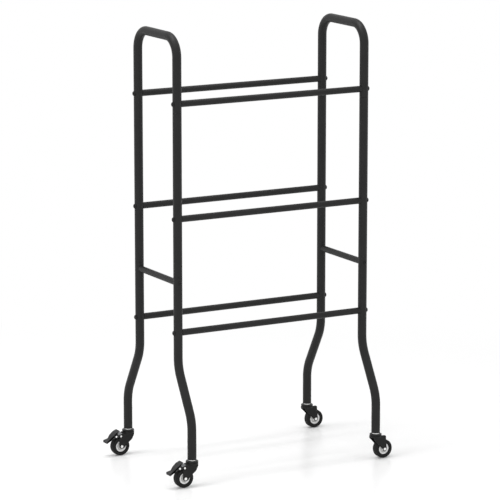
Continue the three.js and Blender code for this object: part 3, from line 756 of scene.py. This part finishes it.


# Each finish's title and maker, then its other settings: the colour where it is rubbed, or for the hub the
# painted shade where it is sunk, the roughness and the spacing of its lines. Its tint is the colour property
# of the same name.
FINISHES = {
    "tube": ("Black powder coat", powder_coat, linear("#4a4a4a"), 0.45),
    "fork": ("Black coat on pressed steel", powder_coat, linear("#505050"), 0.4),
    "pedal": ("Dark grey coat on pressed steel", powder_coat, linear("#77777a"), 0.5),
    "bolt": ("Black oxide", powder_coat, linear("#4c4c4c"), 0.36),
    "zinc": ("Bright zinc plate", bright_metal, 0.3, mm(0.3)),
    "rivet": ("Bright rivet steel", bright_metal, 0.25, mm(0.4)),
    # Spring steel whose tint is darkened with painted shade
    "leaf": ("Spring steel", bright_metal, 0.38, mm(0.25)),
    # The hub's second colour is painted shade for where its web is sunk
    "hub": ("Moulded nylon", moulded_nylon, linear("#d0d0ce")),
    "tyre": ("Moulded rubber", moulded_rubber),
}


def finish(kind):
    """The material of one kind of piece, made the first time that it is asked for."""
    title, maker, *settings = FINISHES[kind]
    tint = getattr(bpy.context.scene.ball_cart_colours, kind)
    return bpy.data.materials.get(title) or maker(title, tint, *settings)


# Frame


class BALLCART_OT_handles(Operator):
    """Make the two looped handles"""

    bl_idname = "ball_cart.handles"
    bl_label = "Handles"

    def execute(self, context):
        sizes = context.scene.ball_cart_tubes
        radius = sizes.leg / 2
        for side in SIDES:
            node = f"handle_{side}"
            low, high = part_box(node)
            half = (high.y - low.y) / 2 - radius
            rise = high.z - radius - low.z - sizes.handle_bend
            flat = 2 * (half - sizes.handle_bend)
            corner = sizes.handle_bend * math.pi / 2
            turns = [0, -math.pi / 2, 0, -math.pi / 2, 0]
            path = route([rise, corner, flat, corner, rise], turns, (-half, low.z), math.pi / 2)
            shell = bent_tube(path, middle(node)[0], radius, sizes.leg_wall, sizes.seam_rim)
            add_piece(f"handle_loop_{side}", shell, "tube", node)
        return {"FINISHED"}


class BALLCART_OT_mid_tubes(Operator):
    """Make the four straight leg tubes with their swaged ends"""

    bl_idname = "ball_cart.mid_tubes"
    bl_label = "Middle leg tubes"

    def execute(self, context):
        sizes = context.scene.ball_cart_tubes
        radius, rim, seam = sizes.leg / 2, sizes.rim, sizes.seam_rim
        bore = radius - sizes.leg_wall
        spigot = bore - FIT_GAP
        spigot_bore = spigot - sizes.leg_wall
        radii = np.array([rim, rim, seam, seam] + 8 * [rim])
        for place, (_, side) in PLACES.items():
            node = f"mid_tube_{place}"
            low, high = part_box(node)
            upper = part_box(f"handle_{side}")[0].z - FIT_GAP
            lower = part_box(f"lower_leg_{place}")[1].z + FIT_GAP
            corners = [
                [spigot, low.z], [spigot, lower], [radius, lower], [radius, upper], [spigot, upper],
                [spigot, high.z], [spigot_bore, high.z], [spigot_bore, upper - sizes.swage],
                [bore, upper - 2 * sizes.swage], [bore, lower + 2 * sizes.swage],
                [spigot_bore, lower + sizes.swage], [spigot_bore, low.z],
            ]
            x, y, _ = middle(node)
            shell = ring_lathe(corners, radii, TUBE_SIDES).placed((x, y, 0))
            add_piece(f"leg_upright_{place}", shell, "tube", node)
        return {"FINISHED"}


class BALLCART_OT_lower_legs(Operator):
    """Make the four bent lower legs with the plugs in their feet"""

    bl_idname = "ball_cart.lower_legs"
    bl_label = "Lower legs"

    def execute(self, context):
        sizes = context.scene.ball_cart_tubes
        radius, bend, lean = sizes.leg / 2, sizes.leg_bend, sizes.leg_bend_angle
        bore, hole = radius - sizes.leg_wall, sizes.plug_bore / 2
        for place, (end, _) in PLACES.items():
            node = f"lower_leg_{place}"
            low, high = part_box(node)
            x, top_y, _ = middle(f"mid_tube_{place}")
            foot_y = middle(f"caster_stem_{place}")[1]
            splay = abs(foot_y - top_y)
            slant = (splay - 2 * bend * (1 - math.cos(lean))) / math.sin(lean)
            bend_top = middle(f"rail_lower_{end}")[2] - sizes.leg_bend_drop
            bend_height = 2 * bend * math.sin(lean) + slant * math.cos(lean)
            last = bend_top - bend_height - low.z
            lengths = [high.z - bend_top, bend * lean, slant, bend * lean, last]
            turns = np.array([0, 1, 0, -1, 0]) * ENDS[end] * lean
            path = route(lengths, turns, (top_y, high.z), -math.pi / 2)
            tube = bent_tube(path, x, radius, sizes.leg_wall, sizes.seam_rim)
            top = low.z + sizes.plug_length
            corners = [[hole, low.z], [bore, low.z], [bore, top], [hole, top]]
            plug = ring_lathe(corners, sizes.rim, TUBE_SIDES).placed((x, foot_y, 0))
            add_piece(f"leg_foot_{place}", tube + plug, "tube", node)
        return {"FINISHED"}


class BALLCART_OT_rails(Operator):
    """Make the six rails"""

    bl_idname = "ball_cart.rails"
    bl_label = "Rails"

    def execute(self, context):
        sizes = context.scene.ball_cart_tubes
        seat = sizes.leg / 2 + sizes.seat_gap
        reach = middle("handle_right")[0] - middle("handle_left")[0]
        shell = coped_tube(reach, sizes.rail / 2, sizes.rail_wall, sizes.rim, seat)
        for end in ENDS:
            for tier in TIERS:
                node = f"rail_{tier}_{end}"
                add_piece(f"rail_tube_{tier}_{end}", shell.placed(middle(node)), "tube", node)
        return {"FINISHED"}


class BALLCART_OT_end_bars(Operator):
    """Make the two end bars"""

    bl_idname = "ball_cart.end_bars"
    bl_label = "End bars"

    def execute(self, context):
        sizes = context.scene.ball_cart_tubes
        seat = sizes.leg / 2 + sizes.seat_gap
        for side in SIDES:
            node = f"end_bar_{side}"
            reach = middle(f"mid_tube_rear_{side}")[1] - middle(f"mid_tube_front_{side}")[1]
            shell = coped_tube(reach, sizes.end_bar / 2, sizes.rail_wall, sizes.rim, seat)
            add_piece(f"end_tube_{side}", shell.placed(middle(node), math.pi / 2), "tube", node)
        return {"FINISHED"}


def dome_bolt(sizes, seat, head, height, shank, socket, sides=48):
    """A dome head bolt along +X through an upright tube of radius seat whose axis is the origin.

    Every row is a ring at one radius. The under side of the head lies at sqrt(seat^2 - y^2), on the tube. The
    dome's height falls with the square of the radius. The rings of the socket are hexagons, whose radius at
    angle a is half the width across flats over the cosine of the angle to the nearest flat.
    """
    angles = np.linspace(0, 2 * math.pi, sides, endpoint=False)
    cos, sin = circle(sides)
    flat = (angles + math.pi / 6) % (math.pi / 3) - math.pi / 6
    hexagon = socket / 2 / np.cos(flat)
    outer, core = head / 2, shank / 2
    edge, chamfer, break_edge = sizes.head_edge, sizes.thread_chamfer, sizes.socket_chamfer
    tip, crest = -(seat + sizes.reach), seat + height
    floor = crest - SOCKET_DEPTH_SHARE * height
    saddle = [np.sqrt(seat**2 - (size * cos) ** 2) for size in (core, outer - edge, outer)]
    collar = socket / 2 / math.cos(math.pi / 6) + sizes.socket_land
    dome = np.linspace(outer - break_edge, collar, 9)
    fall = (height - sizes.rim_height) * ((dome - collar) / (outer - collar)) ** 2
    rows = [
        (0, tip), (core - chamfer, tip), (core, tip + chamfer), (core, saddle[0] - HOLD), (core, saddle[0]),
        (outer - edge, saddle[1]), (outer, saddle[2] + edge), (outer, seat + sizes.rim_height - HOLD),
        *zip(dome, crest - fall), (hexagon + break_edge, crest - HAIR),
        (hexagon, crest - HAIR - break_edge), (hexagon, crest - 2 * HOLD), (hexagon, floor + HOLD / 2),
        (hexagon - HOLD / 2, floor), (0, floor - 2 * HOLD),
    ]
    size, along = (np.stack([np.broadcast_to(row[column], sides) for row in rows]) for column in (0, 1))
    return skin(np.stack([along, size * cos, size * sin], axis=-1))


class BALLCART_OT_bolts(Operator):
    """Make the twelve rail bolts and the four end bar bolts"""

    bl_idname = "ball_cart.bolts"
    bl_label = "Bolts"

    def execute(self, context):
        tubes, sizes = context.scene.ball_cart_tubes, context.scene.ball_cart_bolts
        seat = tubes.leg / 2 + tubes.seat_gap
        rail = dome_bolt(sizes, seat, sizes.rail_head, sizes.rail_height, sizes.rail_shank, sizes.rail_socket)
        bar = dome_bolt(sizes, seat, sizes.bar_head, sizes.bar_height, sizes.bar_shank, sizes.bar_socket)
        for place, (end, side) in PLACES.items():
            x, y, _ = middle(f"mid_tube_{place}")
            turn = 0 if side == "right" else math.pi
            for tier in TIERS:
                node = f"rail_bolt_{tier}_{place}"
                shell = rail.placed((x, y, middle(node)[2]), turn)
                add_piece(f"dome_bolt_{tier}_{place}", shell, "bolt", node)
            node = f"end_bar_bolt_{place}"
            shell = bar.placed((x, y, middle(node)[2]), ENDS[end] * math.pi / 2)
            add_piece(f"end_bolt_{place}", shell, "bolt", node)
        return {"FINISHED"}


# Casters


class BALLCART_OT_stems(Operator):
    """Make the caster stems with their rings, races and rivets"""

    bl_idname = "ball_cart.stems"
    bl_label = "Caster stems"

    def execute(self, context):
        sizes = context.scene.ball_cart_casters
        radius, rivet_radius, ring = sizes.stem / 2, sizes.rivet / 2, sizes.ring / 2
        race = sizes.head / 2 - sizes.head_wall - RUNNING_GAP
        for place, (_, side) in PLACES.items():
            node = f"caster_stem_{place}"
            low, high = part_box(node)
            race_bottom = low.z + sizes.rivet_height
            race_top = race_bottom + sizes.race
            ring_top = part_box(f"lower_leg_{place}")[0].z - FIT_GAP
            ring_bottom = ring_top - sizes.ring_height
            corners = [
                [0, low.z], [rivet_radius, low.z], [rivet_radius, race_bottom], [race, race_bottom],
                [race, race_top], [radius, race_top], [radius, ring_bottom], [ring, ring_bottom],
                [ring - sizes.ring_taper, ring_top], [radius, ring_top], [radius, high.z], [0, high.z],
            ]
            shell = lathe(fillet(corners, sizes.stem_roundings, closed=False, steps=4))
            add_piece(f"swivel_stem_{place}", shell.placed(caster_stand(place), outward(side)), "zinc", node)
        return {"FINISHED"}


def hood_back(sizes):
    """Reach of the back of a plain fork's hood and cheeks."""
    return sizes.head / 2 + sizes.hood_length


def cheek_outline(sizes, braked, trail, axle_height, top):
    """One cheek of a fork as [reach, height] points: up its rear, down its front and round the axle."""
    scale, origin = [trail, top - axle_height], [0, axle_height]
    if braked:
        rear, front = BRAKED_REAR_SHARES * scale + origin, BRAKED_FRONT_SHARES
        half, tip_middle = [sizes.braked_tip, sizes.braked_tip_depth], trail - sizes.braked_tip_shift
    else:
        rear, front = np.array([[hood_back(sizes), top]]), PLAIN_FRONT_SHARES
        half, tip_middle = sizes.plain_tip, trail
    corners = np.concatenate([rear, front * scale + origin])
    radii = np.where(corners[:, 1] > top - HAIR, sizes.cheek_corner, sizes.cheek_bend)
    tip = arc_points((tip_middle, axle_height), half, math.pi, 2 * math.pi, steps=24)
    corners = np.concatenate([tip[-1:], corners, tip[:1]])
    return np.concatenate([fillet(corners, [0, *radii, 0], closed=False), tip[1:-1]])


def both_sides(outline, inside, outside):
    """A sheet on each side of the wheel, between two distances from its middle."""
    return [plate(outline, inside, outside), plate(outline, -outside, -inside)]


def swivel_head(sizes, top):
    """The pressed head of a fork: a cup under a rounded top, with a groove where its halves are rolled."""
    outer, inner, neck = sizes.head / 2, sizes.head / 2 - sizes.head_wall, sizes.stem / 2 + RUNNING_GAP
    bottom, roof = top - sizes.head_height, top - sizes.head_top
    groove, floor, mouth = top - sizes.groove_drop, outer - sizes.groove_depth, sizes.groove_width / 2
    corners = [
        [inner, bottom], [outer, bottom], [outer, groove - mouth], [floor, groove - mouth / 2],
        [floor, groove + mouth / 2], [outer, groove + mouth], [outer, top], [neck, top], [neck, roof],
        [inner, roof],
    ]
    return ring_lathe(corners, sizes.head_roundings, sides=72)


def hood_shells(sizes, top):
    """The stamped hood behind a head without a brake: a skin and the hollow to cut from it."""
    outer, start = hood_back(sizes), (sizes.head - sizes.head_wall) / 2
    crown = top - sizes.hood_drop
    foot = crown - sizes.hood_depth
    edge = sizes.hood_edge

    def outline(inset, first):
        back, low, high = outer - inset, foot - inset, crown - inset
        corners = [[first, low], [back, low], [back, high], [first, high]]
        return fillet(corners, [edge, edge, sizes.hood_corner - inset, edge], steps=8)

    half, hollow_half = sizes.inside + sizes.sheet - sizes.hood_inset, sizes.inside - sizes.hood_inset
    hood = plate(outline(0, start), -half, half, sizes.hood_side, steps=5)
    return hood, plate(outline(sizes.sheet, start - CUT_OVERRUN), -hollow_half, hollow_half)


def crests(sizes, top):
    """The raised crests of both cheeks behind a head without a brake."""
    back, foot = hood_back(sizes), top - sizes.sheet
    line = CREST_SHARES * [back, sizes.crest_rise] + [0, top]
    outline = fillet([[line[-1, 0], foot], [back, foot], *line], sizes.crest_roundings)
    return both_sides(outline, sizes.inside + BURIED, sizes.inside + sizes.sheet - BURIED)


class BALLCART_OT_forks(Operator):
    """Make the four caster forks"""

    bl_idname = "ball_cart.forks"
    bl_label = "Caster forks"

    def execute(self, context):
        sizes = context.scene.ball_cart_casters
        cup_radius, bridge_half = sizes.head / 2 - sizes.head_wall, sizes.inside + sizes.bridge_lap
        for place, (_, side) in PLACES.items():
            node = f"caster_fork_{place}"
            head_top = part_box(node)[1].z
            top, bottom = head_top - sizes.bridge_drop, head_top - sizes.head_height
            braked = f"brake_pedal_{place}" in BODY_OF
            trail, axle_height = reach_of(f"caster_axle_{place}", place), middle(f"caster_axle_{place}")[2]
            outline = cheek_outline(sizes, braked, trail, axle_height, top)
            front, back = outline[:, 0].min(), sizes.head / 2
            bridge = fillet([[front, bottom], [back, bottom], [back, top], [front, top]], sizes.bridge_edge)
            cheeks = both_sides(outline, sizes.inside, sizes.inside + sizes.sheet)
            shells = [swivel_head(sizes, head_top), *cheeks, plate(bridge, -bridge_half, bridge_half)]
            start = bottom - CUT_OVERRUN
            cutters = [lathe([[0, start], [cup_radius, start], [cup_radius, top], [0, top]])]
            if not braked:
                hood, hollow = hood_shells(sizes, top)
                shells += [hood, *crests(sizes, top)]
                cutters.append(hollow)
            mesh = fused(shells, cutters)
            spin = Matrix.Rotation(outward(side), 4, "Z")
            mesh.transform(Matrix.Translation(caster_stand(place)) @ spin)
            add_piece(f"fork_shell_{place}", mesh, "fork", node)
        return {"FINISHED"}


def rivet(radius, head, half, head_height, sides=48):
    """A pin along Y, as a lathe profile with a low dome at each end."""
    angle = np.linspace(math.pi / 2, 0, 9)
    dome = np.stack([head * np.cos(angle), half + HOLD + (head_height - HOLD) * np.sin(angle)], axis=1)
    one = np.concatenate([dome, [[head, half], [radius + HOLD / 2, half], [radius, half - HOLD / 2]]])
    profile = np.concatenate([one, (one * [1, -1])[::-1]])
    profile[[0, -1], 0] = 0
    return lathe(profile, sides).along_y()


def mirrored_ring(half, roundings, sides):
    """A ring round Y turned from one half of its profile, from the inside out, and the same half mirrored."""
    corners = half + [[radius, -height] for radius, height in reversed(half)]
    return ring_lathe(corners, [*roundings, *reversed(roundings)], sides).along_y()


class BALLCART_OT_wheels(Operator):
    """Make the wheels: axle rivets, hubs and tyres"""

    bl_idname = "ball_cart.wheels"
    bl_label = "Wheels"

    def execute(self, context):
        sizes = context.scene.ball_cart_casters
        half = sizes.inside + sizes.sheet + FIT_GAP
        for place in PLACES:
            centre = middle(f"caster_axle_{place}")
            axle = rivet(sizes.axle / 2, sizes.axle_head / 2, half, sizes.axle_head_height)
            add_piece(f"axle_rivet_{place}", axle.placed(centre), "rivet", f"caster_axle_{place}")
            hub = as_mesh(self.hub(sizes).placed(centre))
            # Marks where the hub gets painted shade, on its sunk web
            mark_painted_sunk_shade(hub, sizes.hub_width / 2, sizes.hub_dish / 2)
            add_piece(f"hub_shell_{place}", hub, "hub", f"wheel_hub_{place}")
            tyre = self.tyre(sizes, centre[2]).placed(centre)
            add_piece(f"tyre_ring_{place}", tyre, "tyre", f"wheel_tyre_{place}")
        return {"FINISHED"}

    def hub(self, sizes):
        """A dished hub: flat rim, steep step, sunk web and boss, the same on both faces."""
        outer, boss, bore = sizes.hub / 2, sizes.hub_boss / 2, sizes.axle / 2 + RUNNING_GAP
        face, rim_face, web = FIT_GAP - sizes.inside, -sizes.hub_width / 2, -sizes.hub_dish / 2
        rim = outer - sizes.hub_rim
        half = [
            [bore, face], [boss, face], [boss + sizes.boss_draft, web], [rim - sizes.rim_draft, web],
            [rim, rim_face], [outer, rim_face],
        ]
        return mirrored_ring(half, sizes.hub_roundings, sides=96)

    def tyre(self, sizes, radius):
        """A tyre with a low crown, round shoulders, flat sidewalls, a lip over the hub's rim and the mould's
        parting line."""
        seat, wall, rim_face = sizes.hub / 2 + FIT_GAP, -sizes.tyre_width / 2, -sizes.hub_width / 2 - FIT_GAP
        lip = seat - sizes.tyre_lip
        half = [
            [seat, rim_face], [lip, rim_face], [lip, wall + sizes.bead_inset],
            [seat + sizes.bead_inset, wall], [radius - sizes.tyre_crown, wall],
            [radius - sizes.parting_height, -sizes.parting_foot / 2], [radius, -sizes.parting_top / 2],
        ]
        return mirrored_ring(half, sizes.tyre_roundings, sides=120)


class BALLCART_OT_brakes(Operator):
    """Make the foot brakes: pedals, pins and leaf springs"""

    bl_idname = "ball_cart.brakes"
    bl_label = "Foot brakes"

    def execute(self, context):
        caster, sizes = context.scene.ball_cart_casters, context.scene.ball_cart_brakes
        cheek_face = caster.inside + caster.sheet + FIT_GAP
        flange_face = caster.inside - sizes.side_gap + sizes.flange
        for place in (place for place in PLACES if f"brake_pedal_{place}" in BODY_OF):
            stand = caster_stand(place)
            pedal, pivot, leaf = (f"brake_{kind}_{place}" for kind in ("pedal", "pin", "leaf"))
            pin = np.array([reach_of(pivot, place), middle(pivot)[2]])
            mesh = fused(self.pedal(caster, sizes, pin, reach_of(f"caster_axle_{place}", place)))
            mesh.transform(Matrix.Translation(stand))
            add_piece(f"brake_tread_{place}", mesh, "pedal", pedal)
            for name, node, reach, half in (
                (f"brake_rivet_{place}", pivot, pin[0], cheek_face),
                (f"shoe_rivet_{place}", pedal, pin[0] + sizes.shoe_reach, flange_face),
            ):
                shell = rivet(sizes.pin / 2, sizes.pin_head / 2, half, sizes.pin_head_height)
                shell = shell.placed(stand + [-reach, 0, pin[1]])
                piece = add_piece(name, shell, "rivet", node, covers=node == pivot)
            spring = self.leaf(caster, sizes, pin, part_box(leaf)[1].z).placed(stand)
            add_piece(f"brake_spring_{place}", spring, "leaf", leaf)
        return {"FINISHED"}

    def pedal(self, caster, sizes, pin, trail):
        """The skins of a pedal: a bent tread with a lip, side flanges, ears on the pin and the shoe."""
        inner = caster.inside - sizes.side_gap
        outer = inner + sizes.flange
        tip = np.array([sizes.reach, pin[1] - sizes.tip_drop])
        top = np.array([sizes.top_reach, pin[1] + sizes.top_rise])
        knees = [top[0], tip[1]] + PEDAL_KNEE_SHARES * np.abs(tip - top)
        line = [top, *knees, tip, tip - [0, sizes.lip]]
        shells = [bent_sheet(line, sizes.sheet, -outer, outer, sizes.tread_roundings)]
        shoe = pin + [sizes.shoe_reach, 0]
        low = pin[1] - sizes.shoe_ear
        back = trail - caster.braked_tip_shift + caster.braked_tip + sizes.rear_gap
        sink = np.array([0, sizes.sheet / 2])
        start = top + (knees[0] - top) * FLANGE_START_SHARE
        flange = [point - sink for point in (start, *knees, tip - [sizes.flange_inset, 0])]
        flange += [tip - [sizes.flange_inset, sizes.lip], knees[1] - [0, sizes.top_rise * FLANGE_DEPTH_SHARE]]
        flange += [[shoe[0], low], [back, low], [back, low + 2 * sizes.shoe_ear]]
        flange = fillet(flange, sizes.flange_roundings)
        round_pin = arc_points(pin, sizes.pin / 2 + sizes.ear_wall, math.pi / 2, 1.5 * math.pi)
        ear = np.concatenate([round_pin, arc_points(shoe, sizes.shoe_ear, -math.pi / 2, math.pi / 2)])
        ear_faces = inner - sizes.ear_sheet, inner + sizes.ear_lap
        for sign in (-1, 1):
            for outline, faces in ((flange, (inner, outer)), (ear, ear_faces)):
                shells.append(plate(outline, *sorted(sign * face for face in faces), sizes.plate_edge))
        corners = [[0, -inner], [sizes.shoe / 2, -inner], [sizes.shoe / 2, inner], [0, inner]]
        roller = lathe(fillet(corners, sizes.shoe_edge, closed=False), sides=32)
        return [*shells, roller.along_y().placed((-shoe[0], 0, shoe[1]))]

    def leaf(self, caster, sizes, pin, ceiling):
        """The leaf spring, from under the head over the pin to the shoe."""
        head, tab_height = caster.head / 2, ceiling - sizes.leaf_rise
        low = pin[1] + sizes.pin / 2 + FIT_GAP + sizes.leaf
        line = [
            [head - sizes.leaf_tab, tab_height], [head + FIT_GAP, tab_height], [sizes.leaf_crest, ceiling],
            [pin[0] + sizes.pin / 2, low], [pin[0] + sizes.shoe_reach - sizes.shoe / 2 - FIT_GAP, low],
        ]
        half = caster.inside - sizes.side_gap - sizes.ear_sheet - sizes.leaf_side_gap
        return bent_sheet(line, sizes.leaf, -half, half, sizes.leaf_roundings)


# Studio

# The camera's place, its lens and sensor in millimetres, its turn in degrees and how far it sees
CAMERA_PLACE = (-3.92925, -7.0552, 2.2125)
CAMERA_LENS = 218.76
CAMERA_ELEVATION = 11.4376
CAMERA_AZIMUTH = -29.1566
CAMERA_RANGE = 100
CAMERA_SENSOR = 36

# Each lamp's place, turn in degrees, width and depth, power in watts, and whether reflections show it
LAMPS = {
    "Key light": ((-1.1, 0.1, 4.2), (0, 0, 0), (4.2, 1.1), 105, True),
    "Fill light": ((-2.6, -5.4, 2.4), (80, 0, -26), (3.0, 2.0), 90, False),
}
# The strength of the light from all round, and the rays to which the studio shows as plain white
WORLD_LIGHT = 0.55
WHITE = (1, 1, 1, 1)
SEEN_RAYS = ("Is Camera Ray", "Is Glossy Ray")

# Half the floor's width, the distances between which its shading fades, and its own faint light
FLOOR_REACH = 30
PAPER_FADE = (0.9, 1.8)
PAPER_LIFT = 0.07


def ray_kind(tree, *names):
    """One for the rays of the given kinds, and nought for all others."""
    path = add(tree, "LightPath")
    first, *others = (path.outputs[name] for name in names)
    for other in others:
        first = add(tree, "Math", {0: first, 1: other}, operation="MAXIMUM")
    return first


def studio_paper(name, tint):
    """White paper under the cart: matt, with the cart's soft shadow, fading to plain white further out."""
    material, tree, where = new_finish(name)
    lift = add(tree, "Math", {0: ray_kind(tree, "Is Camera Ray"), 1: PAPER_LIFT}, operation="MULTIPLY")
    sheet = {"Base Color": (*tint, 1), "Roughness": 0.25, "Specular IOR Level": 0.1}
    paper = add(tree, "BsdfPrincipled", {**sheet, "Emission Color": WHITE, "Emission Strength": lift})
    white = add(tree, "Emission", {"Color": WHITE, "Strength": 1.0})
    distance = add(tree, "VectorMath", {0: where}, operation="LENGTH")
    limits = {"From Min": PAPER_FADE[0], "From Max": PAPER_FADE[1]}
    fade = add(tree, "MapRange", {"Value": distance, **limits}, interpolation_type="SMOOTHSTEP")
    share = add(tree, "Math", {0: fade, 1: ray_kind(tree, *SEEN_RAYS)}, operation="MULTIPLY")
    mixed = add(tree, "MixShader", {0: share, 1: paper, 2: white})
    add(tree, "OutputMaterial", {"Surface": mixed})
    return material


class BALLCART_OT_studio(Operator):
    """Make the camera, the lamps, the surroundings and the floor"""

    bl_idname = "ball_cart.studio"
    bl_label = "Studio"

    def execute(self, context):
        scene = context.scene
        self.camera(scene)
        self.world(scene)
        for name, settings in LAMPS.items():
            self.lamp(scene, name, *settings)
        self.floor(scene)
        scene.view_settings.view_transform = "Standard"
        return {"FINISHED"}

    def camera(self, scene):
        data = bpy.data.cameras.new("Camera")
        data.lens, data.sensor_width, data.clip_end = CAMERA_LENS, CAMERA_SENSOR, CAMERA_RANGE
        camera = bpy.data.objects.new("Camera", data)
        camera.location = CAMERA_PLACE
        camera.rotation_euler = (math.radians(90 - CAMERA_ELEVATION), 0, math.radians(CAMERA_AZIMUTH))
        scene.collection.objects.link(camera)
        bpy.context.scene.camera = camera

    def world(self, scene):
        """Even white light all round, which a camera or a reflection sees as plain white."""
        world = scene.world or bpy.data.worlds.new("Studio")
        scene.world = world
        world.use_nodes = True
        tree = world.node_tree
        tree.nodes.clear()
        seen = ray_kind(tree, *SEEN_RAYS, "Is Transmission Ray")
        strength = add(tree, "MapRange", {"Value": seen, "To Min": WORLD_LIGHT, "To Max": 1.0})
        sky = add(tree, "Background", {"Color": WHITE, "Strength": strength})
        add(tree, "OutputWorld", {"Surface": sky})

    def lamp(self, scene, name, place, turn, size, power, in_reflections):
        """A soft box, which faces down where it isn't turned."""
        data = bpy.data.lights.new(name, "AREA")
        data.shape, data.energy = "RECTANGLE", power
        data.size, data.size_y = size
        lamp = bpy.data.objects.new(name, data)
        lamp.location = place
        lamp.rotation_euler = [math.radians(angle) for angle in turn]
        lamp.visible_glossy = in_reflections
        scene.collection.objects.link(lamp)

    def floor(self, scene):
        """A square of paper that the camera sees no end of."""
        corners = np.array([[-1, -1, 0], [1, -1, 0], [1, 1, 0], [-1, 1, 0]]) * FLOOR_REACH
        mesh = bpy.data.meshes.new("Floor")
        mesh.from_pydata(corners, [], [[0, 1, 2, 3]])
        mesh.materials.append(studio_paper("Studio paper", scene.ball_cart_colours.floor))
        floor = bpy.data.objects.new("Floor", mesh)
        scene.collection.objects.link(floor)


class BALLCART_PT_sidebar(Panel):
    """Buttons and sizes of the ball cart"""

    bl_label = "Ball cart"
    bl_idname = "BALLCART_PT_sidebar"
    bl_space_type = "VIEW_3D"
    bl_region_type = "UI"
    bl_category = "Ball cart"

    def draw(self, context):
        for operator in OPERATORS:
            self.layout.operator(operator.bl_idname)
        for name, group in GROUPS.items():
            box = self.layout.box()
            box.label(text=group.__doc__)
            for size in group.__annotations__:
                box.prop(getattr(context.scene, name), size)


OPERATORS = (
    BALLCART_OT_studio,
    BALLCART_OT_handles,
    BALLCART_OT_mid_tubes,
    BALLCART_OT_lower_legs,
    BALLCART_OT_rails,
    BALLCART_OT_end_bars,
    BALLCART_OT_bolts,
    BALLCART_OT_stems,
    BALLCART_OT_forks,
    BALLCART_OT_wheels,
    BALLCART_OT_brakes,
)
GROUPS = {
    "ball_cart_tubes": TubeSizes,
    "ball_cart_bolts": BoltSizes,
    "ball_cart_casters": CasterSizes,
    "ball_cart_brakes": BrakeSizes,
    "ball_cart_colours": Colours,
}


def register():
    for name, group in GROUPS.items():
        bpy.utils.register_class(group)
        setattr(bpy.types.Scene, name, PointerProperty(type=group))
    for kind in (*OPERATORS, BALLCART_PT_sidebar):
        bpy.utils.register_class(kind)


def unregister():
    for kind in (BALLCART_PT_sidebar, *reversed(OPERATORS)):
        bpy.utils.unregister_class(kind)
    for name, group in reversed(GROUPS.items()):
        delattr(bpy.types.Scene, name)
        bpy.utils.unregister_class(group)


def main():
    """Makes the whole cart."""
    register()
    for operator in OPERATORS:
        group, name = operator.bl_idname.split(".")
        getattr(getattr(bpy.ops, group), name)()


if __name__ == "__main__":
    main()
